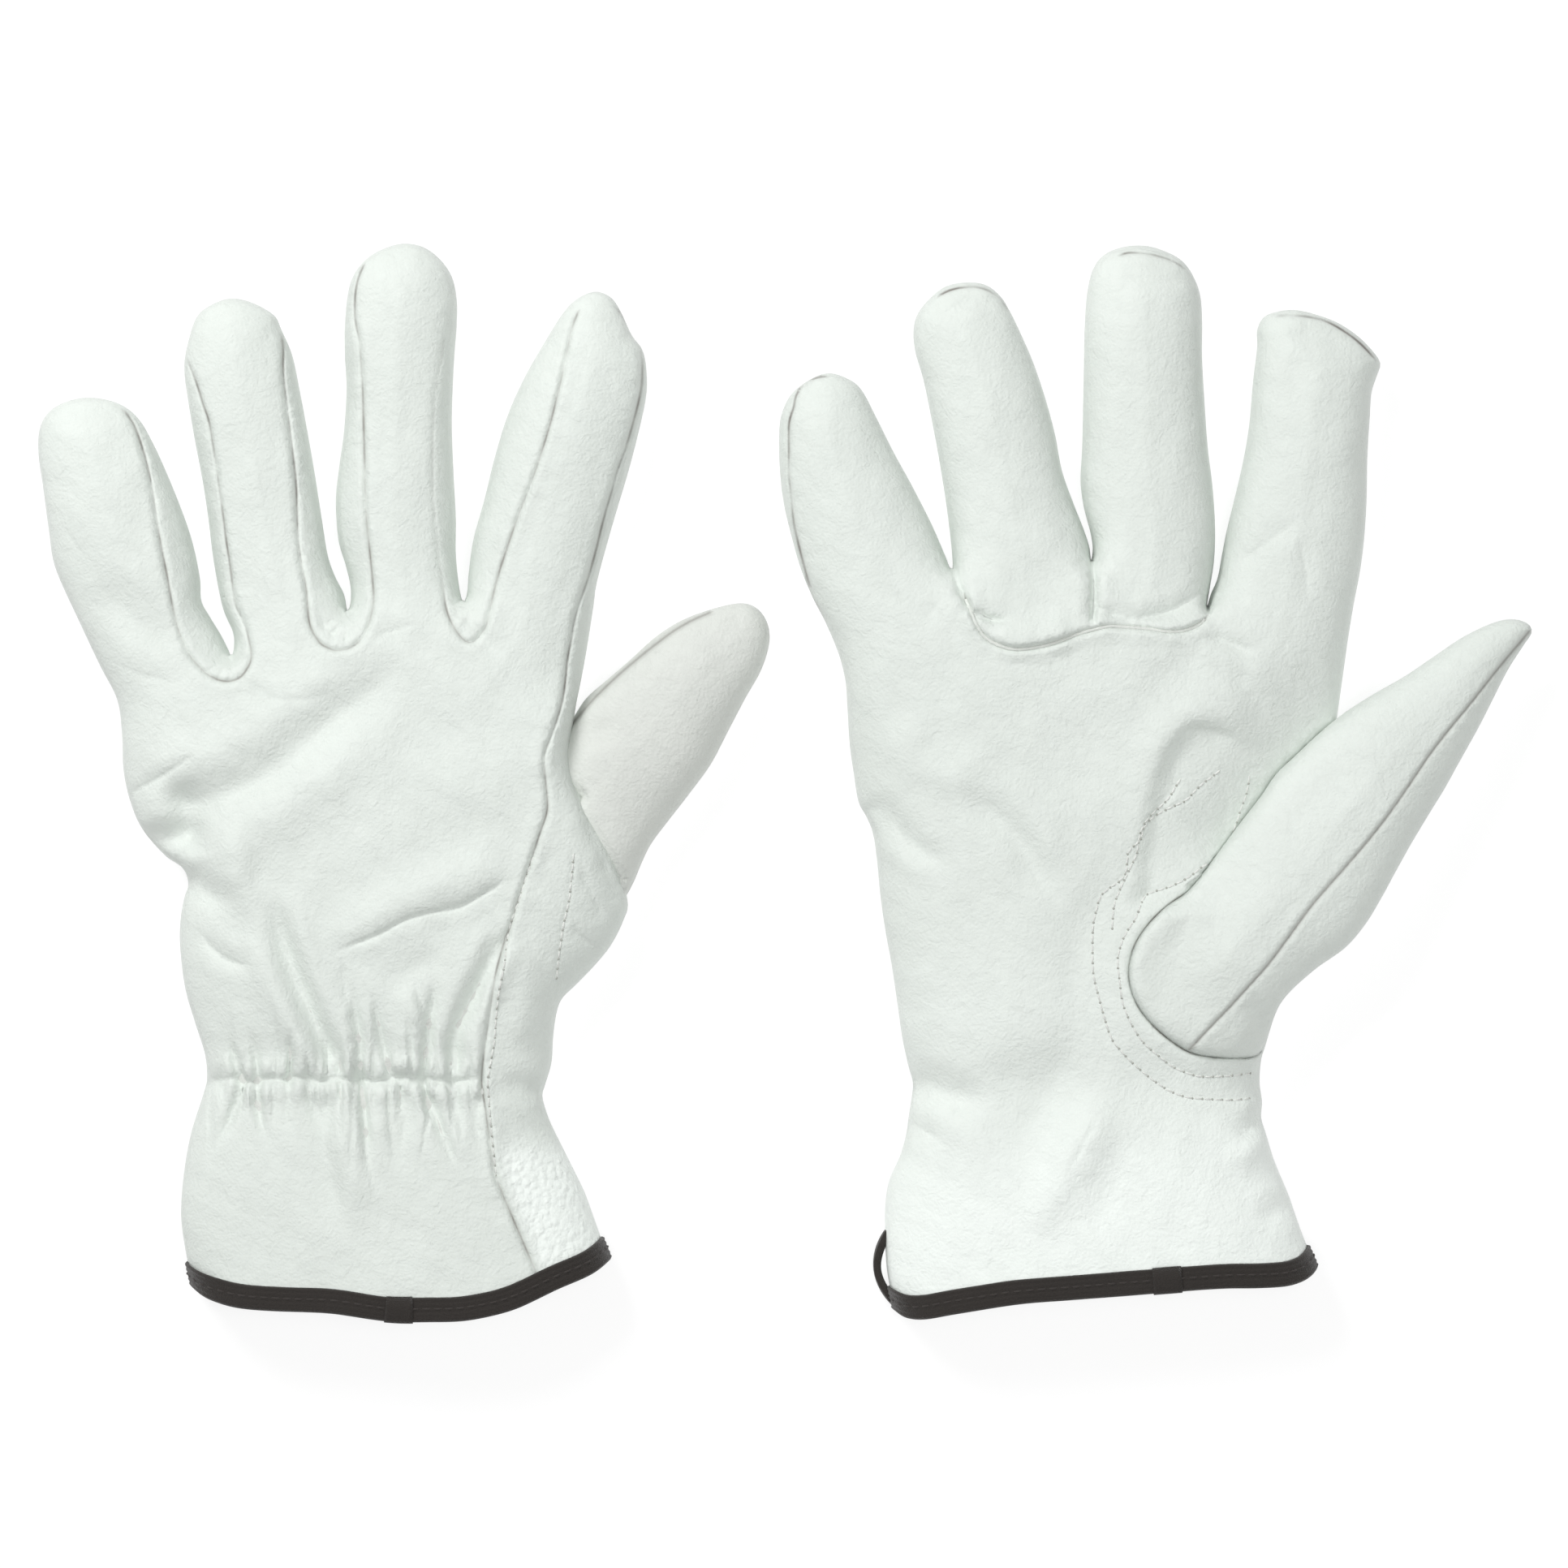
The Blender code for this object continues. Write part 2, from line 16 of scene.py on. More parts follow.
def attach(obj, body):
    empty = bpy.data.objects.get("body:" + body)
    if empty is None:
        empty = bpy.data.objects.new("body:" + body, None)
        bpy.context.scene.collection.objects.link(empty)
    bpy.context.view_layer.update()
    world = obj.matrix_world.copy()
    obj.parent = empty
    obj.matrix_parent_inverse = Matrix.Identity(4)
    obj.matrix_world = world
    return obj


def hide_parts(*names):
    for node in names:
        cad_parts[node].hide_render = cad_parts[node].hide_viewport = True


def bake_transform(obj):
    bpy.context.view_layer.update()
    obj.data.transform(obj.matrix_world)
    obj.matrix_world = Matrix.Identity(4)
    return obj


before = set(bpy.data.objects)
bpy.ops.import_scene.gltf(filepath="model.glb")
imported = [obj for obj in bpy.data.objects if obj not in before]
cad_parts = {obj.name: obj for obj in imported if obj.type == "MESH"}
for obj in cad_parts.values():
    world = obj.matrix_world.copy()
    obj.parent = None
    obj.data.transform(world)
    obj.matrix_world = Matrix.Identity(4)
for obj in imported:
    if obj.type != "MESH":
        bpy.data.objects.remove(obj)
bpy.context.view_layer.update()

GRID = 0.19
MID = (966.0, 966.0)
SHIFT = (0.601, -1.411)
DRAPE = 1.45   # how deep the folds of the leather are drawn


def G(points):
    p = np.asarray(points, float)
    return np.stack([(p[:, 0] - MID[0]) * GRID + SHIFT[0], (MID[1] - p[:, 1]) * GRID + SHIFT[1]], 1)


# ---------------------------------------------------------------- drawing tools
def spline(points, step=1.0, closed=False):
    """A Catmull-Rom curve through the points, resampled at an even step in millimetres."""
    p = np.asarray(points, float)
    n = len(p)
    out = []
    last = n if closed else n - 1
    for i in range(last):
        if closed:
            a, b, c, d = p[i - 1], p[i], p[(i + 1) % n], p[(i + 2) % n]
        else:
            b, c = p[i], p[i + 1]
            a = p[i - 1] if i else 2 * b - c
            d = p[i + 2] if i + 2 < n else 2 * c - b
        m = max(2, int(np.linalg.norm(c - b) / 0.25))
        t = np.linspace(0, 1, m, endpoint=False)[:, None]
        ta, tb = (c - a) * 0.5, (d - b) * 0.5
        out.append((2 * t**3 - 3 * t**2 + 1) * b + (t**3 - 2 * t**2 + t) * ta + (-2 * t**3 + 3 * t**2) * c + (t**3 - t**2) * tb)
    out = np.concatenate(out)
    if not closed:
        out = np.vstack([out, p[-1]])
    ring = np.vstack([out, out[:1]]) if closed else out
    s = np.concatenate([[0], np.cumsum(np.linalg.norm(np.diff(ring, axis=0), axis=1))])
    k = max(2, int(round(s[-1] / step)))
    u = np.linspace(0, s[-1], k, endpoint=False) if closed else np.linspace(0, s[-1], k + 1)
    return np.stack([np.interp(u, s, ring[:, 0]), np.interp(u, s, ring[:, 1])], 1)


def near(P, line, reach, closed=False):
    """For points P: their distance to a polyline, signed to its left, and how far along it they lie. Beyond reach it is 1e3."""
    a = line
    b = np.roll(line, -1, 0) if closed else line[1:]
    a = a if closed else line[:-1]
    seg = b - a
    ln = np.maximum(np.linalg.norm(seg, axis=1), 1e-9)
    start = np.concatenate([[0], np.cumsum(ln)[:-1]])
    dist = np.full(len(P), 1e3)
    along = np.zeros(len(P))
    side = np.ones(len(P))
    lo, hi = line.min(0) - reach, line.max(0) + reach
    idx = np.nonzero(np.all((P >= lo) & (P <= hi), axis=1))[0]
    for k in range(0, len(idx), 4000):
        j = idx[k:k + 4000]
        q = P[j]
        rel = q[:, None, :] - a[None]
        t = np.clip(np.einsum("ijk,jk->ij", rel, seg) / ln**2, 0, 1)
        off = rel - t[..., None] * seg[None]
        d2 = np.einsum("ijk,ijk->ij", off, off)
        m = d2.argmin(1)
        r = np.arange(len(j))
        d = np.sqrt(d2[r, m])
        cross = seg[m, 0] * rel[r, m, 1] - seg[m, 1] * rel[r, m, 0]
        ok = d < reach
        dist[j[ok]] = d[ok]
        along[j[ok]] = (start[m] + t[r, m] * ln[m])[ok]
        side[j[ok]] = np.where(cross[ok] >= 0, 1.0, -1.0)
    return dist, side, along, start[-1] + ln[-1]


def inside(P, loop):
    out = np.zeros(len(P), bool)
    x1, y1 = loop[:, 0], loop[:, 1]
    x2, y2 = np.roll(x1, -1), np.roll(y1, -1)
    for k in range(0, len(P), 4000):
        q = P[k:k + 4000]
        cond = (y1[None] > q[:, 1:2]) != (y2[None] > q[:, 1:2])
        with np.errstate(divide="ignore", invalid="ignore"):
            xi = (x2 - x1)[None] * (q[:, 1:2] - y1[None]) / (y2 - y1)[None] + x1[None]
        out[k:k + 4000] = (np.sum(cond & (q[:, 0:1] < xi), axis=1) % 2) == 1
    return out


def smooth(t):
    t = np.clip(t, 0, 1)
    return t * t * (3 - 2 * t)


class Pillow:
    """The rounded height of a skin over its outline, from a screened membrane equation solved on a 1 mm grid."""

    def __init__(self, loop, sides, size):
        self.sides = sides
        self.h = 1.0
        self.lo = loop.min(0) - 4
        n = np.ceil((loop.max(0) + 4 - self.lo) / self.h).astype(int) + 1
        xs = self.lo[0] + np.arange(n[0]) * self.h
        ys = self.lo[1] + np.arange(n[1]) * self.h
        X, Y = np.meshgrid(xs, ys, indexing="ij")
        pts = np.stack([X.ravel(), Y.ravel()], 1)
        mask = inside(pts, loop).reshape(X.shape)
        d = near(pts, sides, 60.0)[0].reshape(X.shape)
        d = np.minimum(d, 60.0)
        u = np.where(mask, size**2 * (1 - np.exp(-d / size)), 0.0)
        k = 4 + self.h**2 / size**2
        for _ in range(1200):
            s4 = np.zeros_like(u)
            s4[1:-1, 1:-1] = u[2:, 1:-1] + u[:-2, 1:-1] + u[1:-1, 2:] + u[1:-1, :-2]
            u = np.where(mask, (s4 + self.h**2) / k, 0.0)
        r = np.where(mask, u / np.maximum(d, 0.35), 0.0)
        w = mask.astype(float)
        good = w * (d > 1.2)
        val = r * good
        # carry the ratio from well inside out to the edge and past it
        for _ in range(6):
            sv, sw = val.copy(), good.copy()
            for ax, sh in ((0, 1), (0, -1), (1, 1), (1, -1)):
                sv += np.roll(val, sh, ax)
                sw += np.roll(good, sh, ax)
            filled = np.where(sw > 0, sv / np.maximum(sw, 1e-9), 0)
            val = np.where(good > 0, (val + filled) * 0.5, filled)
            good = np.where(sw > 0, 1.0, 0.0)
        self.r = val

    def __call__(self, P):
        d = np.minimum(near(P, self.sides, 60.0)[0], 60.0)
        f = (P - self.lo) / self.h
        i = np.clip(np.floor(f).astype(int), 0, np.array(self.r.shape) - 2)
        t = np.clip(f - i, 0, 1)
        r = self.r
        v = (r[i[:, 0], i[:, 1]] * (1 - t[:, 0]) * (1 - t[:, 1]) + r[i[:, 0] + 1, i[:, 1]] * t[:, 0] * (1 - t[:, 1])
             + r[i[:, 0], i[:, 1] + 1] * (1 - t[:, 0]) * t[:, 1] + r[i[:, 0] + 1, i[:, 1] + 1] * t[:, 0] * t[:, 1])
        return np.sqrt(np.maximum(2 * d * v, 0.0)), d


class Fold:
    """A fold or crease along a drawn line: kind, half width and height in millimetres, fading out at both ends."""

    def __init__(self, kind, pts, width, height, ends=(0.25, 0.25), lean=0.0):
        self.kind, self.w, self.a, self.ends, self.lean = kind, width, height, ends, lean
        self.line = spline(G(pts), 1.5)

    def __call__(self, P):
        reach = self.w * 4.5
        d, side, s, total = near(P, self.line, reach)
        hit = d < 900
        z = np.zeros(len(P))
        if not hit.any():
            return z
        d, side, t = d[hit], side[hit], s[hit] / total
        fade = smooth(t / max(self.ends[0], 1e-3)) * smooth((1 - t) / max(self.ends[1], 1e-3))
        x = d * side / self.w
        if self.kind == "valley":      # soft V with one lip higher than the other
            y = -np.exp(-np.abs(x) ** 1.5) + (0.35 + self.lean) * np.exp(-((x - 1.9) / 1.1) ** 2) + (0.35 - self.lean) * np.exp(-((x + 1.9) / 1.1) ** 2)
        elif self.kind == "ridge":
            y = np.exp(-(x**2)) - 0.18 * np.exp(-((np.abs(x) - 2.2) / 0.9) ** 2)
        elif self.kind == "crease":    # a sharp line
            y = -np.exp(-np.abs(x)) + 0.25 * np.exp(-((np.abs(x) - 2.2) / 1.2) ** 2)
        elif self.kind == "step":      # one side stands higher
            y = np.tanh(x * 1.6) * np.exp(-(np.abs(x) / 2.6) ** 2)
        elif self.kind == "bowl":
            y = -np.exp(-(x**2))
        z[hit] = self.a * DRAPE * y * fade
        return z


def seam_height(P, line, depth=0.75, half=0.45, lip=0.38, pucker=0.10, pitch=2.7, phase=0.0, quiet=0.0):
    """A seam sewn inside out: a narrow groove between two soft lips, slightly puckered by the stitches."""
    d, side, s, total = near(P, line, 6.0)
    hit = d < 900
    z = np.zeros(len(P))
    d, side, s = d[hit], side[hit], s[hit]
    fade = smooth(s / 2.5) * smooth((total - s) / 2.5)
    wob = 1 + 0.3 * np.sin(s * 0.21 + phase) + 0.2 * np.sin(s * 0.55 + phase * 2)
    y = -depth * np.exp(-((d / half) ** 2)) + lip * wob * np.exp(-(((d - 1.5) / 1.05) ** 2))
    y += pucker * np.sin(2 * np.pi * s / pitch + side * 0.7 + phase) * np.exp(-(((d - 1.2) / 1.0) ** 2))
    if quiet:
        y *= 0.3 + 0.7 * smooth((s - quiet) / 8.0)
    z[hit] = y * fade
    return z


def stitch_height(P, line, pitch, depth=0.16, half=0.55):
    d, side, s, total = near(P, line, 4.0)
    hit = d < 900
    z = np.zeros(len(P))
    d, s = d[hit], s[hit]
    z[hit] = -depth * (0.45 + 0.9 * np.cos(np.pi * s / pitch) ** 8) * np.exp(-((d / half) ** 2)) + 0.10 * np.exp(-(((d - 1.3) / 0.6) ** 2))
    return z


# ---------------------------------------------------------------- mesh tools
class Cloud:
    """Points for a triangulation, kept apart from one another."""

    def __init__(self):
        self.pts, self.cells = [], {}

    def add(self, points, gap, always=False):
        for x, y in points:
            i, j = int(x // 2), int(y // 2)
            ok = True
            if not always:
                g2 = gap * gap
                for a in (i - 1, i, i + 1):
                    for b in (j - 1, j, j + 1):
                        for k in self.cells.get((a, b), ()):
                            q = self.pts[k]
                            if (q[0] - x) ** 2 + (q[1] - y) ** 2 < g2:
                                ok = False
                                break
                        if not ok:
                            break
                    if not ok:
                        break
            if ok:
                self.cells.setdefault((i, j), []).append(len(self.pts))
                self.pts.append((x, y))


def normals_2d(line, closed=False):
    if closed:
        t = np.roll(line, -1, 0) - np.roll(line, 1, 0)
    else:
        t = np.gradient(line, axis=0)
    t /= np.maximum(np.linalg.norm(t, axis=1, keepdims=True), 1e-9)
    return np.stack([-t[:, 1], t[:, 0]], 1)


def triangulate(loop, lines=(), fine=(), spacing=1.9, rings=(0.22, 0.75, 1.7, 3.1)):
    """Triangles inside a closed outline, with rows of points along its edge and along the seams."""
    cloud = Cloud()
    cloud.add(loop, 0, always=True)
    nb = len(loop)
    keep = lambda pts, margin: pts[inside(pts, loop) & (near(pts, loop, 8.0, closed=True)[0] > margin)]
    for line in lines:
        n = normals_2d(line)
        cloud.add(keep(line, 0.25), 0.4)
        for off, gap in ((0.42, 0.33), (1.0, 0.5), (1.8, 0.8)):
            for sgn in (1, -1):
                cloud.add(keep(line + n * off * sgn, 0.3), gap)
    for line in fine:
        n = normals_2d(line)
        cloud.add(keep(line, 0.3), 0.45)
        for off in (0.55, 1.2):
            for sgn in (1, -1):
                cloud.add(keep(line + n * off * sgn, 0.3), 0.5)
    area = 0.5 * np.sum(loop[:, 0] * np.roll(loop[:, 1], -1) - np.roll(loop[:, 0], -1) * loop[:, 1])
    n = normals_2d(loop, True) * (1 if area > 0 else -1)
    for off in rings:
        cloud.add(keep(loop + n * off, off * 0.86), 0.35 + 0.25 * off)
    lo, hi = loop.min(0), loop.max(0)
    rows = int((hi[1] - lo[1]) / (spacing * 0.866)) + 1
    lattice = []
    for r in range(rows):
        y = lo[1] + r * spacing * 0.866
        xs = np.arange(lo[0] + (r % 2) * spacing / 2, hi[0], spacing)
        lattice.append(np.stack([xs, np.full(len(xs), y)], 1))
    cloud.add(keep(np.concatenate(lattice), rings[-1] + 0.6 * spacing if rings else 0.5 * spacing), spacing * 0.62)
    pts = np.array(cloud.pts)
    verts, edges, faces, ov, oe, of_ = delaunay_2d_cdt([Vector(p) for p in pts], [(i, (i + 1) % nb) for i in range(nb)], [], 0, 1e-7)
    verts = np.array([tuple(v) for v in verts])
    faces = np.array([f for f in faces if len(f) == 3])
    mid = verts[faces].mean(1)
    faces = faces[inside(mid, loop)]
    area2 = np.cross(verts[faces[:, 1]] - verts[faces[:, 0]], verts[faces[:, 2]] - verts[faces[:, 0]])
    faces[area2 < 0] = faces[area2 < 0][:, ::-1]
    return verts, faces[np.abs(area2) > 1e-7], nb


def make_mesh(name, verts_mm, faces, material, smooth_shade=True):
    mesh = bpy.data.meshes.new(name)
    mesh.from_pydata([tuple(v) for v in np.asarray(verts_mm) * 0.001], [], [tuple(int(i) for i in f) for f in faces])
    mesh.update()
    if smooth_shade:
        mesh.shade_smooth()
    mesh.materials.append(material)
    obj = bpy.data.objects.new(name, mesh)
    bpy.context.scene.collection.objects.link(obj)
    return obj


def vertex_normals(verts, faces):
    v = verts[faces]
    fn = np.cross(v[:, 1] - v[:, 0], v[:, 2] - v[:, 0])
    n = np.zeros_like(verts)
    for k in range(3):
        np.add.at(n, faces[:, k], fn)
    return n / np.maximum(np.linalg.norm(n, axis=1, keepdims=True), 1e-12)


def part_mesh(name, verts, faces, normals, pick, material, attrs=None):
    """The picked faces of a bigger surface as an object of their own, shaded as if it were still whole."""
    f = faces[pick]
    used, inv = np.unique(f, return_inverse=True)
    f = inv.reshape(f.shape)
    obj = make_mesh(name, verts[used], f, material)
    if attrs is not None:
        for key, val in attrs.items():
            a = obj.data.attributes.new(key, "FLOAT", "POINT")
            a.data.foreach_set("value", val[used].astype(np.float32))
    obj.data.normals_split_custom_set_from_vertices([tuple(n) for n in normals[used]])
    return obj


def capsules(name, centres, dirs, ups, length, radius, material, flat=0.75):
    """Short rounded stitches, joined as one object."""
    rings = [(-0.5, 0.35), (-0.42, 0.8), (-0.2, 1.0), (0.2, 1.0), (0.42, 0.8), (0.5, 0.35)]
    sides = 6
    V, F = [], []
    for c, d, u in zip(centres, dirs, ups):
        d = d / np.linalg.norm(d)
        u = u - d * np.dot(u, d)
        u /= max(np.linalg.norm(u), 1e-9)
        w = np.cross(d, u)
        base = len(V)
        for t, r in rings:
            sag = -1.1 * radius * (abs(2 * t) ** 2.5)
            for k in range(sides):
                a = 2 * np.pi * k / sides
                V.append(c + d * t * length + (u * np.sin(a) * flat + w * np.cos(a)) * radius * r + u * sag)
        for i in range(len(rings) - 1):
            for k in range(sides):
                k2 = (k + 1) % sides
                F.append((base + i * sides + k, base + i * sides + k2, base + (i + 1) * sides + k2, base + (i + 1) * sides + k))
        F.append(tuple(base + k for k in range(sides))[::-1])
        F.append(tuple(base + (len(rings) - 1) * sides + k for k in range(sides)))
    obj = make_mesh(name, np.array(V), F, material)
    fix_outwards(obj)
    return obj


def fix_outwards(obj):
    bm = bmesh.new()
    bm.from_mesh(obj.data)
    bmesh.ops.recalc_face_normals(bm, faces=bm.faces)
    bm.to_mesh(obj.data)
    bm.free()


def sweep(name, path, outs, ups, profile, material, closed=True, caps=True):
    """A profile carried along a path; profile points are (outwards, upwards) in millimetres."""
    n, m = len(path), len(profile)
    V = np.zeros((n, m, 3))
    for i in range(n):
        for j, (a, b) in enumerate(profile if not callable(profile) else profile(i)):
            V[i, j] = path[i] + outs[i] * a + ups[i] * b
    F = []
    for i in range(n if closed else n - 1):
        k = (i + 1) % n
        for j in range(m):
            l = (j + 1) % m
            F.append((i * m + j, i * m + l, k * m + l, k * m + j))
    if not closed and caps:
        F.append(tuple(range(m))[::-1])
        F.append(tuple((n - 1) * m + j for j in range(m)))
    obj = make_mesh(name, V.reshape(-1, 3), F, material)
    fix_outwards(obj)
    return obj


# ---------------------------------------------------------------- materials
def nodes_of(name):
    mat = bpy.data.materials.new(name)
    mat.use_nodes = True
    nt = mat.node_tree
    return mat, nt, nt.nodes["Principled BSDF"], nt.links


def add(nt, kind, **props):
    node = nt.nodes.new(kind)
    for k, v in props.items():
        if k in node.inputs:
            node.inputs[k].default_value = v
        else:
            setattr(node, k, v)
    return node


def leather(name, low, high, rough=(0.48, 0.62), grain=0.16, pebble=0.0, scale=1.0, seam=True):
    mat, nt, bsdf, links = nodes_of(name)
    co = add(nt, "ShaderNodeTexCoord")
    # broad cloudiness of the hide
    cloud = add(nt, "ShaderNodeTexNoise", Scale=26.0, Detail=4.0, Roughness=0.55)
    mott = add(nt, "ShaderNodeTexNoise", Scale=210.0, Detail=3.0, Roughness=0.6)
    fine = add(nt, "ShaderNodeTexVoronoi", Scale=1350.0 * scale)
    fine.feature = "SMOOTH_F1"
    fine.inputs["Smoothness"].default_value = 0.6
    pore = add(nt, "ShaderNodeTexNoise", Scale=2600.0 * scale, Detail=2.0, Roughness=0.5)
    wrink = add(nt, "ShaderNodeTexNoise", Scale=330.0, Detail=6.0, Roughness=0.62, Distortion=0.8)
    for n in (cloud, mott, fine, pore, wrink):
        links.new(co.outputs["Object"], n.inputs["Vector"])
    ramp = add(nt, "ShaderNodeMix")
    ramp.data_type = "RGBA"
    ramp.inputs[6].default_value = (*low, 1)
    ramp.inputs[7].default_value = (*high, 1)
    blend = add(nt, "ShaderNodeMath", operation="MULTIPLY_ADD")
    blend.inputs[1].default_value = 0.75
    links.new(cloud.outputs["Fac"], blend.inputs[0])
    m2 = add(nt, "ShaderNodeMath", operation="MULTIPLY")
    m2.inputs[1].default_value = 0.25
    links.new(mott.outputs["Fac"], m2.inputs[0])
    links.new(m2.outputs[0], blend.inputs[2])
    links.new(blend.outputs[0], ramp.inputs[0])
    colour = ramp.outputs[2]
    if pebble:
        # painted light: where the attribute read next is set, the colour is lifted toward a brighter copy, on the left
        # cuff's strip and towards the right glove's cuff
        att = add(nt, "ShaderNodeAttribute")
        att.attribute_name = "painted_light"
        painted_light_mix = add(nt, "ShaderNodeMix")
        painted_light_mix.data_type = "RGBA"
        painted_light_mix.inputs[7].default_value = (0.905, 0.955, 0.915, 1)
        links.new(att.outputs["Fac"], painted_light_mix.inputs[0])
        links.new(colour, painted_light_mix.inputs[6])
        colour = painted_light_mix.outputs[2]
    if seam:
        # the seams' dark line: partly the seam's own dark join, partly painted shade in the groove
        att = add(nt, "ShaderNodeAttribute")
        att.attribute_name = "groove"
        seam_join_and_shade = add(nt, "ShaderNodeMix")
        seam_join_and_shade.data_type = "RGBA"
        seam_join_and_shade.inputs[7].default_value = (0.24, 0.225, 0.205, 1)
        links.new(att.outputs["Fac"], seam_join_and_shade.inputs[0])
        links.new(colour, seam_join_and_shade.inputs[6])
        colour = seam_join_and_shade.outputs[2]
    links.new(colour, bsdf.inputs["Base Color"])
    rr = add(nt, "ShaderNodeMapRange")
    rr.inputs["To Min"].default_value = rough[0]
    rr.inputs["To Max"].default_value = rough[1]
    links.new(mott.outputs["Fac"], rr.inputs["Value"])
    links.new(rr.outputs[0], bsdf.inputs["Roughness"])
    b1 = add(nt, "ShaderNodeBump", Strength=grain, Distance=0.00022)
    links.new(fine.outputs["Distance"], b1.inputs["Height"])
    b1.invert = True
    b2 = add(nt, "ShaderNodeBump", Strength=grain * 0.8, Distance=0.0001)
    links.new(pore.outputs["Fac"], b2.inputs["Height"])
    links.new(b1.outputs[0], b2.inputs["Normal"])
    b3 = add(nt, "ShaderNodeBump", Strength=0.5, Distance=0.0008)
    links.new(wrink.outputs["Fac"], b3.inputs["Height"])
    links.new(b2.outputs[0], b3.inputs["Normal"])
    last = b3
    if pebble:
        att = add(nt, "ShaderNodeAttribute")
        att.attribute_name = "coarse"
        vor = add(nt, "ShaderNodeTexVoronoi", Scale=620.0)
        vor.feature = "SMOOTH_F1"
        vor.inputs["Smoothness"].default_value = 0.45
        links.new(co.outputs["Object"], vor.inputs["Vector"])
        amp = add(nt, "ShaderNodeMath", operation="MULTIPLY")
        links.new(vor.outputs["Distance"], amp.inputs[0])
        links.new(att.outputs["Fac"], amp.inputs[1])
        b4 = add(nt, "ShaderNodeBump", Strength=pebble, Distance=0.0009)
        b4.invert = True
        links.new(amp.outputs[0], b4.inputs["Height"])
        links.new(b3.outputs[0], b4.inputs["Normal"])
        last = b4
    links.new(last.outputs[0], bsdf.inputs["Normal"])
    bsdf.inputs["Specular IOR Level"].default_value = 0.38
    bsdf.inputs["Sheen Weight"].default_value = 0.06
    bsdf.inputs["Sheen Roughness"].default_value = 0.5
    return mat


def cloth(name, colour, light, rough, scale, strength, sheen=0.1):
    mat, nt, bsdf, links = nodes_of(name)
    co = add(nt, "ShaderNodeTexCoord")
    n = add(nt, "ShaderNodeTexNoise", Scale=scale, Detail=4.0, Roughness=0.6)
    w = add(nt, "ShaderNodeTexVoronoi", Scale=scale * 1.3)
    links.new(co.outputs["Object"], n.inputs["Vector"])
    links.new(co.outputs["Object"], w.inputs["Vector"])
    mix = add(nt, "ShaderNodeMix")
    mix.data_type = "RGBA"
    mix.inputs[6].default_value = (*colour, 1)
    mix.inputs[7].default_value = (*light, 1)
    links.new(n.outputs["Fac"], mix.inputs[0])
    links.new(mix.outputs[2], bsdf.inputs["Base Color"])
    bump = add(nt, "ShaderNodeBump", Strength=strength, Distance=0.0003)
    links.new(w.outputs["Distance"], bump.inputs["Height"])
    links.new(bump.outputs[0], bsdf.inputs["Normal"])
    bsdf.inputs["Roughness"].default_value = rough
    bsdf.inputs["Sheen Weight"].default_value = sheen
    bsdf.inputs["Specular IOR Level"].default_value = 0.3
    return mat


M_SKIN = leather("goatskin", (0.685, 0.73, 0.688), (0.80, 0.847, 0.803), grain=0.42, pebble=0.42)
M_THUMB = leather("goatskin_thumb", (0.645, 0.668, 0.63), (0.755, 0.78, 0.74), grain=0.42)
M_INSIDE = leather("suede_inside", (0.60, 0.62, 0.59), (0.72, 0.735, 0.70), rough=(0.85, 0.95), grain=0.5, seam=False)
M_TAPE = cloth("hem_tape", (0.016, 0.013, 0.011), (0.040, 0.034, 0.030), 0.82, 2600.0, 0.5, sheen=0.25)
M_BLACK = cloth("black_thread", (0.030, 0.026, 0.024), (0.06, 0.05, 0.045), 0.6, 5200.0, 0.4)
M_WHITE = cloth("white_thread", (0.76, 0.78, 0.74), (0.86, 0.87, 0.84), 0.55, 5200.0, 0.4)
# needle holes: their grey colour is painted shade inside the holes
M_HOLE_SHADE = cloth("needle_hole", (0.40, 0.41, 0.37), (0.50, 0.51, 0.47), 0.9, 2600.0, 0.1)
M_ELASTIC = cloth("elastic", (0.72, 0.73, 0.70), (0.84, 0.84, 0.81), 0.7, 3000.0, 0.6)

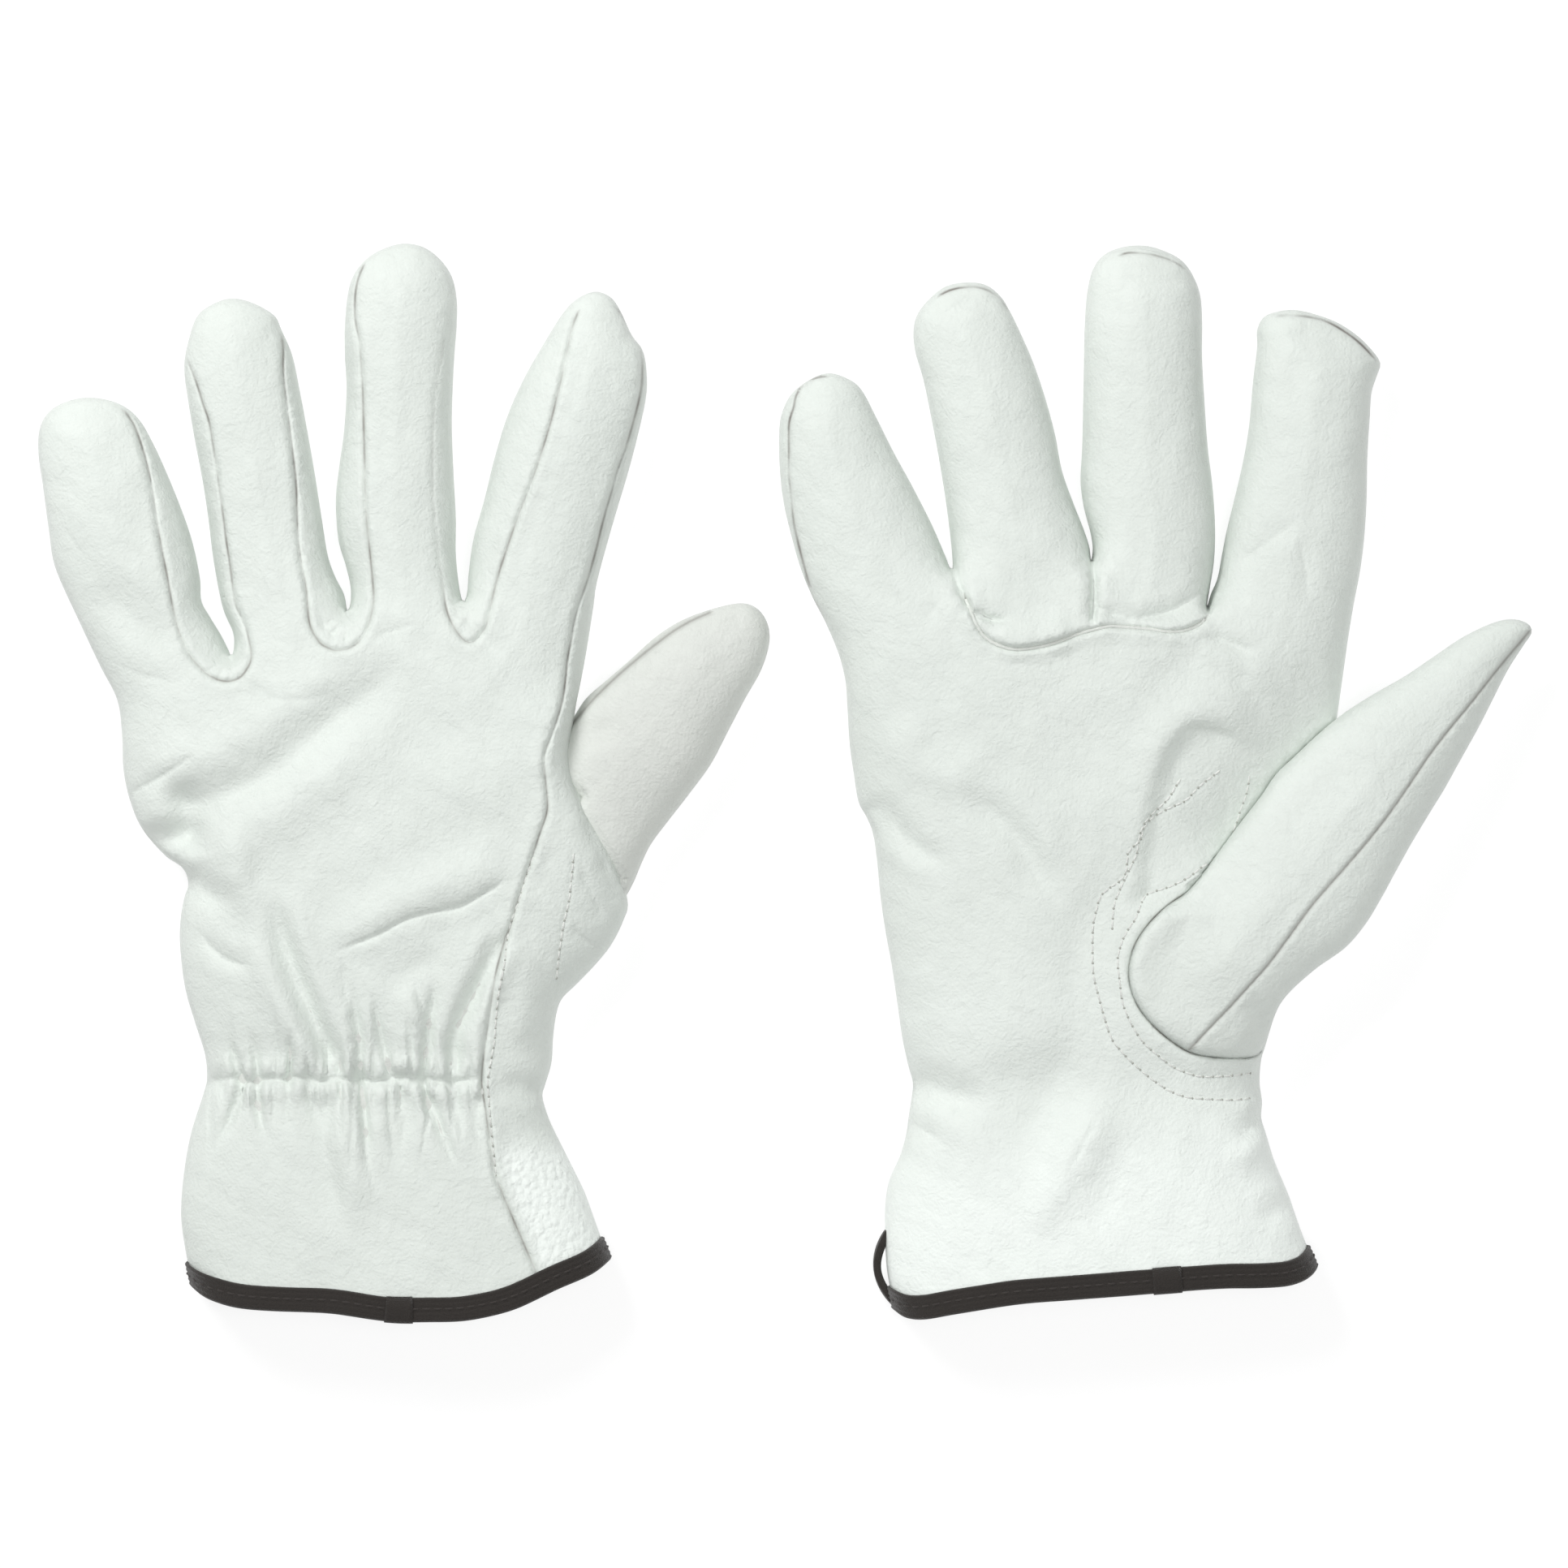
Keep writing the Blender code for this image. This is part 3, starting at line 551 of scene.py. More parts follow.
# ---------------------------------------------------------------- the drawings of the two gloves
LEFT = {
    "side": "left",
    # from the hem's left corner up the little finger, round the four fingers, and down the thumb's side to the hem
    "outline": [
        # the hem's corner, the cuff, the gathered wrist, the bulge of the hand's outer edge
        (236, 1581), (228, 1545), (222, 1500), (225, 1450), (234, 1398), (249, 1350), (254, 1328), (251, 1298), (239, 1260), (227, 1218), (221, 1170), (221, 1136), (226, 1106), (231, 1090),
        (224, 1070), (202, 1054), (175, 1023), (160, 990), (151, 950), (149, 905), (143, 862), (122, 820), (96, 765),
        # little finger
        (67, 700), (59, 655), (52, 602), (46, 560), (47, 530), (57, 509), (78, 495), (110, 489), (146, 497), (170, 516), (188, 547), (204, 582), (223, 629), (236, 668), (245, 711), (247, 740), (257, 759), (271, 782),
        (280, 800), (284, 808), (287, 798),
        # ring finger
        (286, 779), (273, 747), (262, 690), (256, 642), (249, 595), (238, 537), (230, 489), (226, 458), (228, 432), (240, 392), (257, 376), (281, 367), (307, 371), (336, 387), (346, 406), (359, 437), (368, 479), (378, 532),
        (387, 584), (396, 642), (403, 684), (412, 710), (423, 732), (427, 752), (431, 742),
        # middle finger
        (431, 722), (425, 696), (416, 664), (413, 616), (417, 575), (423, 530), (426, 478), (424, 437), (424, 400), (428, 360), (436, 336), (452, 317), (473, 305), (496, 299), (520, 303), (541, 318), (556, 340), (562, 368),
        (562, 400), (559, 440), (557, 480), (556, 525), (558, 580), (561, 637), (561, 682), (565, 722), (570, 741), (575, 730),
        # index finger
        (577, 704), (583, 663), (596, 616), (609, 563), (625, 511), (646, 464), (670, 422), (691, 388), (707, 370), (725, 360), (739, 359), (754, 367), (765, 384), (778, 412), (791, 430), (796, 453), (796, 486), (787, 530),
        (774, 580), (757, 637), (742, 690), (734, 722), (731, 745), (723, 797), (715, 842), (709, 874),
        # behind the thumb, then the swell under it, the wrist and the cuff
        (702, 935), (722, 994), (758, 1060), (773, 1110), (768, 1134), (753, 1164), (734, 1188), (710, 1213), (692, 1231), (685, 1250), (681, 1279), (679, 1310), (671, 1338), (668, 1353), (677, 1382), (692, 1413), (707, 1443),
        (720, 1470), (731, 1500), (741, 1528), (750, 1550)],
    "hem": [(750, 1550), (735, 1562), (719, 1570), (687, 1583), (660, 1596), (635, 1607), (606, 1615), (570, 1621), (531, 1622), (490, 1622), (462, 1619), (437, 1615), (406, 1611), (344, 1609), (300, 1606), (272, 1600), (252, 1592), (236, 1581)],
    "past": [(752, 1556), (790, 1660), (880, 1900), (100, 1900), (200, 1700), (236, 1590)],
    "seams": [
        [(150, 503), (163, 520), (172, 540), (181, 568), (188, 598), (196, 647), (202, 680), (208, 709), (214, 742), (220, 770), (226, 787), (232, 800), (238, 811), (246, 820), (256, 830), (269, 837), (280, 840), (290, 839), (299, 835), (305, 828), (311, 817), (312, 805), (309, 790), (305, 775), (298, 759), (291, 743), (287, 714), (284, 690), (280, 665), (277, 640), (269, 583), (260, 525), (252, 500), (245, 478), (239, 462), (234, 450), (231, 440)],
        [(346, 410), (349, 430), (350, 464), (356, 513), (363, 568), (366, 596), (367, 623), (368, 650), (370, 675), (374, 700), (379, 725), (381, 745), (383, 765), (387, 778), (393, 788), (399, 795), (407, 799), (414, 802), (422, 802), (432, 800), (441, 795), (450, 785), (456, 772), (460, 756), (462, 738), (460, 710), (457, 680), (454, 652), (452, 625), (451, 590), (450, 550), (449, 515), (448, 482), (446, 450), (444, 421), (440, 403), (438, 388), (438, 368), (440, 350), (445, 334), (451, 322)],
        [(549, 412), (546, 435), (541, 460), (537, 490), (535, 520), (534, 555), (534, 590), (535, 620), (538, 650), (540, 675), (543, 700), (547, 723), (550, 745), (555, 762), (562, 775), (569, 785), (577, 792), (584, 792), (590, 787), (597, 778), (602, 768), (606, 748), (611, 725), (618, 700), (627, 673), (638, 641), (651, 608), (662, 578), (672, 547), (680, 520), (686, 495), (692, 470), (697, 445), (701, 426), (704, 409), (709, 394), (715, 380)],
        [(757, 376), (769, 392), (779, 408), (788, 425), (791, 446), (791, 468), (788, 490), (781, 518), (773, 546), (766, 566), (759, 586), (753, 609), (746, 632), (738, 664), (730, 695), (721, 724), (712, 750), (707, 771), (704, 790), (701, 805), (699, 820), (697, 842), (694, 863), (689, 882), (683, 900), (677, 916), (672, 932), (673, 955), (675, 975), (676, 990), (675, 1002), (671, 1015), (667, 1026), (663, 1038), (659, 1050), (651, 1074), (643, 1098), (637, 1117), (632, 1136), (623, 1160), (616, 1184), (611, 1206), (608, 1227), (604, 1254), (600, 1281), (597, 1305), (595, 1329), (597, 1347), (600, 1366), (605, 1403), (611, 1441), (621, 1469), (632, 1495), (644, 1523), (656, 1551), (662, 1565), (667, 1578)],
    ],
    "stitches": [
        ([(659, 1054), (650, 1080), (641, 1109), (634, 1127), (629, 1144), (626, 1164), (624, 1184), (620, 1206), (616, 1227), (613, 1254), (611, 1281), (607, 1305), (603, 1329), (604, 1350), (606, 1375), (608, 1399), (611, 1425), (614, 1452)], 2.3),
        ([(708, 1050), (707, 1066), (705, 1085), (703, 1104), (700, 1120), (696, 1136), (693, 1155), (690, 1174), (688, 1192), (686, 1211)], 2.3),
    ],
    "sep": [[(190, 300), (195, 450), (200, 510), (228, 590), (241, 640), (251, 690), (259, 740), (275, 775), (284, 808)], [(390, 280), (395, 450), (400, 560), (404, 640), (412, 690), (421, 712), (427, 752)], [(640, 300), (630, 400), (594, 510), (578, 620), (570, 680), (570, 741)]],
    "cuts": {"little": ((112, 818), (284, 809)), "ring": ((284, 809), (428, 752)), "middle": ((428, 752), (570, 745)), "index": ((570, 745), (735, 735))},
    "tips": {"little": 430, "ring": 330, "middle": 260, "index": 320},
    "thumb_cut": ((716, 870), (694, 1232)),
}
RIGHT = {
    "side": "right",
    "outline": [
        # the hem's corner, the cuff, the wrist, the hand's outer edge
        (1102, 1611), (1093, 1565), (1091, 1522), (1091, 1485), (1096, 1455), (1108, 1428), (1116, 1402), (1120, 1376), (1124, 1350), (1125, 1334), (1119, 1312), (1112, 1279), (1106, 1237), (1099, 1190), (1091, 1146), (1085, 1104),
        (1081, 1062), (1076, 1028), (1068, 1007), (1058, 988), (1052, 952), (1047, 916), (1044, 867), (1042, 840), (1034, 807), (1018, 768),
        # little finger
        (1002, 737), (987, 701), (976, 663), (966, 621), (961, 579), (960, 537), (963, 510), (975, 485), (998, 467), (1021, 459), (1045, 466), (1062, 480), (1080, 514), (1101, 556), (1124, 598), (1148, 645), (1164, 682),
        (1172, 701), (1174, 688),
        # ring finger
        (1167, 626), (1157, 563), (1147, 510), (1138, 467), (1128, 432), (1126, 405), (1132, 384), (1150, 363), (1168, 351), (1192, 347), (1215, 350), (1233, 364), (1245, 383), (1258, 410), (1274, 447), (1290, 495), (1301, 537),
        (1309, 579), (1323, 619), (1336, 652), (1343, 674), (1345, 690), (1347, 674),
        # middle finger
        (1344, 655), (1336, 624), (1332, 592), (1334, 552), (1335, 505), (1336, 455), (1337, 405), (1340, 362), (1347, 332), (1361, 313), (1386, 303), (1414, 302), (1440, 310), (1459, 322), (1472, 341), (1480, 365), (1482, 398),
        (1482, 440), (1485, 495), (1489, 550), (1495, 600), (1498, 648), (1497, 688), (1492, 722), (1488, 747), (1493, 731),
        # index finger
        (1501, 712), (1506, 686), (1512, 655), (1522, 614), (1532, 571), (1540, 524), (1545, 468), (1550, 427), (1550, 406), (1558, 390), (1575, 383), (1598, 381), (1624, 387), (1650, 397), (1674, 413), (1692, 431), (1702, 447),
        (1697, 464), (1691, 484), (1689, 513), (1686, 563), (1685, 616), (1682, 663), (1677, 703), (1669, 745), (1662, 788), (1656, 831), (1650, 873),
        # behind the thumb, then the wrist and the cuff
        (1640, 940), (1613, 1070), (1583, 1208), (1561, 1286), (1555, 1306), (1553, 1334), (1556, 1358), (1555, 1378), (1561, 1398), (1569, 1425), (1578, 1448), (1589, 1474), (1599, 1503), (1609, 1530), (1622, 1560)],
    "hem": [(1622, 1560), (1610, 1571), (1590, 1578), (1573, 1580), (1540, 1581), (1509, 1581), (1460, 1584), (1421, 1587), (1383, 1590), (1320, 1595), (1256, 1600), (1210, 1607), (1170, 1614), (1140, 1620), (1118, 1620), (1102, 1611)],
    "past": [(1624, 1566), (1660, 1680), (1740, 1900), (960, 1920), (1070, 1720), (1102, 1620)],
    "seams": [
        [(992, 472), (985, 480), (980, 491), (978, 502), (974, 514), (972, 526), (972, 554), (972, 582), (975, 613), (978, 643), (984, 671), (991, 698), (998, 723), (1006, 747), (1013, 760), (1021, 771)],
        [(1186, 730), (1191, 744), (1196, 756), (1201, 769), (1208, 781), (1217, 790), (1229, 796), (1241, 800), (1254, 801), (1272, 799), (1291, 795), (1309, 789), (1327, 782), (1345, 777), (1364, 773), (1389, 774), (1413, 776), (1432, 779), (1450, 779), (1463, 776), (1474, 771), (1482, 764), (1487, 756)],
        [(1153, 367), (1170, 358), (1190, 354), (1208, 355), (1223, 361), (1234, 370), (1243, 384)],
        [(1377, 317), (1389, 312), (1409, 313), (1430, 317), (1450, 325), (1461, 334)],
        [(1570, 390), (1590, 389), (1612, 391), (1633, 396), (1655, 408), (1676, 424), (1697, 446)],
        [(985, 482), (992, 473), (1001, 467), (1012, 464), (1024, 465)],
        [(1461, 1098), (1432, 1118), (1408, 1143), (1393, 1170), (1388, 1201), (1397, 1234), (1421, 1265), (1461, 1294), (1499, 1302), (1530, 1303), (1556, 1298)],
    ],
    "stitches": [
        ([(1503, 948), (1490, 958), (1478, 967), (1468, 977), (1459, 986), (1449, 991), (1440, 995), (1430, 1000), (1421, 1005), (1414, 1011), (1408, 1018), (1405, 1026), (1403, 1034), (1396, 1041), (1389, 1048), (1387, 1057), (1386, 1066), (1384, 1076), (1376, 1086), (1364, 1094), (1354, 1104), (1349, 1120), (1345, 1138), (1344, 1168), (1345, 1198), (1349, 1217), (1354, 1236), (1360, 1257), (1367, 1277), (1378, 1292), (1390, 1305), (1399, 1313), (1408, 1321), (1424, 1333), (1440, 1343), (1459, 1350), (1474, 1352), (1490, 1353), (1522, 1354), (1552, 1351)], 2.35),
        ([(1454, 958), (1446, 970), (1438, 983), (1427, 994), (1415, 1005), (1407, 1016), (1402, 1028), (1400, 1040), (1398, 1052), (1391, 1067), (1384, 1082), (1377, 1097), (1371, 1113), (1369, 1130), (1368, 1146)], 2.35),
        ([(1538, 954), (1537, 965), (1535, 976), (1532, 986), (1528, 996), (1525, 1007), (1521, 1018), (1517, 1029), (1512, 1040), (1505, 1048), (1497, 1056), (1487, 1063), (1478, 1069), (1467, 1077), (1456, 1084), (1444, 1090), (1433, 1094), (1420, 1098), (1410, 1103), (1403, 1115), (1397, 1130), (1389, 1142), (1382, 1155), (1376, 1173), (1375, 1186), (1376, 1198), (1380, 1230), (1384, 1243), (1389, 1255), (1396, 1268), (1405, 1281), (1415, 1291), (1427, 1301), (1443, 1313), (1462, 1321), (1478, 1325), (1503, 1325), (1541, 1322), (1552, 1319)], 2.35),
    ],
    "sep": [[(1090, 300), (1100, 450), (1127, 550), (1154, 630), (1172, 701)], [(1300, 280), (1312, 420), (1321, 590), (1333, 630), (1340, 652), (1345, 690)], [(1515, 280), (1516, 420), (1510, 600), (1508, 640), (1502, 690), (1498, 712), (1488, 747)]],
    "cuts": {"little": ((990, 722), (1172, 701)), "ring": ((1172, 701), (1345, 690)), "middle": ((1345, 692), (1488, 747)), "index": ((1488, 747), (1672, 735))},
    "tips": {"little": 400, "ring": 300, "middle": 250, "index": 330},
}
LEFT_THUMB = [
    (694, 905), (709, 879), (723, 859), (747, 838), (777, 812), (807, 785), (838, 765), (874, 751), (910, 743), (931, 748), (945, 766), (948, 791), (938, 825), (919, 859), (898, 899), (876, 941), (850, 977), (822, 1013), (802, 1040),
    (791, 1062), (780, 1088), (768, 1108), (745, 1128), (715, 1135), (688, 1120), (668, 1085), (662, 1040), (664, 985), (676, 940)]
RIGHT_THUMB = [
    # the seam of its base, then round under it, out to the tip, and back along the web
    (1461, 1098), (1432, 1118), (1408, 1143), (1393, 1170), (1388, 1201), (1397, 1234), (1421, 1265), (1461, 1294), (1499, 1302), (1530, 1303), (1548, 1300), (1558, 1288), (1566, 1261), (1575, 1238), (1591, 1218), (1621, 1192),
    (1656, 1167), (1681, 1138), (1700, 1107), (1717, 1076), (1736, 1042), (1757, 1007), (1778, 973), (1797, 939), (1820, 898), (1839, 861), (1857, 826), (1877, 795), (1887, 779), (1881, 768), (1862, 763), (1838, 768), (1802, 785),
    (1766, 809), (1729, 834), (1692, 855), (1656, 878), (1626, 902), (1596, 930), (1571, 954), (1553, 980), (1529, 1011), (1505, 1043), (1482, 1073)]
LEFT_FOLDS = [
    Fold("valley", [(560, 792), (515, 812), (477, 836), (440, 866), (412, 888), (375, 921), (343, 948), (300, 970), (252, 985), (194, 998)], 5.0, 1.7, (0.45, 0.1), -0.2),
    Fold("ridge", [(500, 880), (440, 925), (380, 965), (320, 1000), (262, 1014)], 7.0, 0.9, (0.4, 0.3)),
    Fold("ridge", [(270, 1110), (300, 1085), (330, 1072)], 9.0, 1.1, (0.45, 0.45)),
    Fold("valley", [(206, 960), (228, 985), (236, 1020), (232, 1060)], 4.5, 1.6, (0.35, 0.2)),
    Fold("crease", [(246, 928), (228, 940), (205, 955), (180, 968), (160, 978)], 1.3, 0.7, (0.3, 0.1)),
    Fold("valley", [(262, 1020), (238, 1025), (210, 1029), (182, 1030), (168, 1028)], 3.0, 2.0, (0.35, 0.1), 0.1),
    Fold("ridge", [(250, 1068), (300, 1058), (335, 1066)], 6.5, 0.8, (0.4, 0.5)),
    Fold("bowl", [(228, 1082), (262, 1102), (300, 1118)], 3.0, 1.4, (0.1, 0.6)),
    Fold("crease", [(246, 1140), (268, 1172), (300, 1188), (322, 1186)], 1.4, 0.8, (0.3, 0.4)),
    Fold("ridge", [(380, 1164), (428, 1147), (455, 1134), (503, 1108), (568, 1082), (640, 1066)], 4.6, 1.0, (0.3, 0.2)),
    Fold("crease", [(412, 1172), (445, 1160), (471, 1149), (503, 1132), (540, 1122), (568, 1117), (600, 1099), (632, 1082)], 0.9, 0.75, (0.2, 0.15)),
    Fold("valley", [(332, 1090), (342, 1122), (351, 1152), (364, 1195), (375, 1222), (386, 1248), (407, 1291), (423, 1326)], 2.4, 1.7, (0.3, 0.05), 0.2),
    Fold("ridge", [(300, 1130), (318, 1170), (345, 1225), (372, 1280), (392, 1318)], 3.4, 1.2, (0.4, 0.15)),
    Fold("valley", [(359, 1262), (360, 1292), (359, 1318), (352, 1358)], 1.1, 0.9, (0.3, 0.3)),
    Fold("valley", [(308, 1262), (318, 1300), (322, 1330), (325, 1382), (336, 1412)], 1.2, 1.0, (0.3, 0.3)),
    Fold("valley", [(280, 1270), (292, 1300), (300, 1334), (292, 1360), (283, 1384), (262, 1422)], 1.2, 0.9, (0.3, 0.3)),
    Fold("valley", [(434, 1200), (440, 1240), (445, 1281), (446, 1318), (453, 1382), (456, 1425), (466, 1475)], 1.3, 1.25, (0.25, 0.35), -0.1),
    Fold("valley", [(462, 1225), (472, 1275), (484, 1327)], 1.1, 1.0, (0.3, 0.1)),
    Fold("valley", [(541, 1190), (535, 1235), (530, 1275), (522, 1329), (528, 1349), (537, 1366), (546, 1393), (558, 1421), (570, 1454)], 1.3, 1.25, (0.25, 0.3)),
    Fold("ridge", [(505, 1200), (507, 1250), (505, 1300), (503, 1325)], 2.6, 1.0, (0.4, 0.1)),
    Fold("valley", [(628, 1134), (610, 1175), (589, 1216), (574, 1246), (563, 1278), (566, 1329)], 2.0, 1.7, (0.2, 0.1), 0.1),
    Fold("step", [(420, 1338), (417, 1365), (415, 1398), (418, 1430), (424, 1465), (430, 1520)], 2.4, 1.0, (0.12, 0.35)),
    Fold("crease", [(432, 1340), (438, 1380), (436, 1420), (440, 1462)], 0.9, 0.5, (0.2, 0.5)),
    Fold("crease", [(352, 1340), (356, 1375), (368, 1392)], 0.8, 0.5, (0.2, 0.5)),
    Fold("crease", [(515, 1205), (522, 1240), (536, 1270)], 0.8, 0.55, (0.3, 0.5)),
    Fold("crease", [(425, 1180), (428, 1215), (426, 1245)], 0.8, 0.5, (0.3, 0.5)),
    Fold("valley", [(500, 1335), (502, 1370), (496, 1410), (500, 1450)], 2.0, 0.7, (0.1, 0.5)),
    Fold("valley", [(592, 1345), (588, 1375), (596, 1410), (604, 1440)], 2.0, 0.7, (0.1, 0.5)),
    Fold("valley", [(116, 712), (142, 738), (171, 763), (200, 785), (233, 806)], 4.5, 0.9, (0.3, 0.3)),
    Fold("crease", [(288, 851), (325, 860), (367, 863), (400, 858), (429, 849)], 1.6, 0.35, (0.3, 0.4)),
    Fold("crease", [(453, 790), (485, 778), (522, 769)], 1.5, 0.4, (0.3, 0.4)),
    Fold("crease", [(318, 842), (334, 862), (342, 884)], 1.4, 0.35, (0.1, 0.6)),
    Fold("valley", [(470, 770), (500, 790), (545, 800)], 3.0, 0.4, (0.4, 0.4)),
    Fold("valley", [(560, 1165), (500, 1200), (470, 1215)], 3.0, 0.6, (0.4, 0.4)),
    Fold("bowl", [(560, 850), (520, 900), (500, 960)], 9.0, 0.7, (0.4, 0.4)),
    Fold("ridge", [(620, 900), (600, 960), (590, 1020)], 9.0, 0.6, (0.4, 0.4)),
    Fold("valley", [(712, 1252), (700, 1275), (690, 1300)], 2.0, 0.6, (0.3, 0.3)),
    Fold("valley", [(663, 1350), (640, 1338), (615, 1330)], 2.4, 1.0, (0.1, 0.4)),
    Fold("valley", [(245, 1334), (262, 1333), (285, 1332)], 2.4, 1.0, (0.05, 0.4)),
    Fold("ridge", [(640, 1150), (650, 1230), (645, 1300)], 4.5, 0.8, (0.3, 0.3)),
    Fold("crease", [(712, 1000), (730, 1030), (744, 1060), (752, 1090)], 1.4, 0.7, (0.3, 0.3)),
    Fold("crease", [(712, 1060), (728, 1096), (748, 1136)], 1.2, 0.6, (0.3, 0.3)),
    Fold("crease", [(706, 1140), (724, 1160), (742, 1166)], 1.0, 0.5, (0.3, 0.3)),
    Fold("valley", [(734, 1052), (752, 1078), (766, 1108)], 2.0, 0.7, (0.3, 0.3)),
    Fold("valley", [(585, 770), (600, 790), (618, 812)], 1.8, 0.5, (0.1, 0.6)),
    Fold("crease", [(742, 432), (750, 470), (752, 520)], 2.2, 0.2, (0.4, 0.4)),
    *[Fold("crease", [(284 + a, 812 + b), (284 + 2 * a, 812 + 2 * b)], 0.6, 0.5, (0.05, 0.1)) for a, b in ((-13, 9), (-6, 13), (2, 13), (9, 9))],
    *[Fold("crease", [(429 + a, 756 + b), (429 + 2 * a, 756 + 2 * b)], 0.6, 0.5, (0.05, 0.1)) for a, b in ((-14, 8), (-9, 15), (0, 20), (9, 14))],
    *[Fold("crease", [(571 + a, 750 + b), (571 + 2 * a, 750 + 2 * b)], 0.6, 0.5, (0.05, 0.1)) for a, b in ((-6, 10), (1, 17), (6, 12))],
    Fold("crease", [(396, 760), (404, 776), (420, 786)], 0.8, 0.6, (0.3, 0.3)),
    Fold("crease", [(70, 640), (96, 672), (120, 700)], 2.0, 0.3, (0.4, 0.4)),
    Fold("crease", [(120, 800), (170, 830), (230, 842)], 1.8, 0.3, (0.4, 0.4)),
]
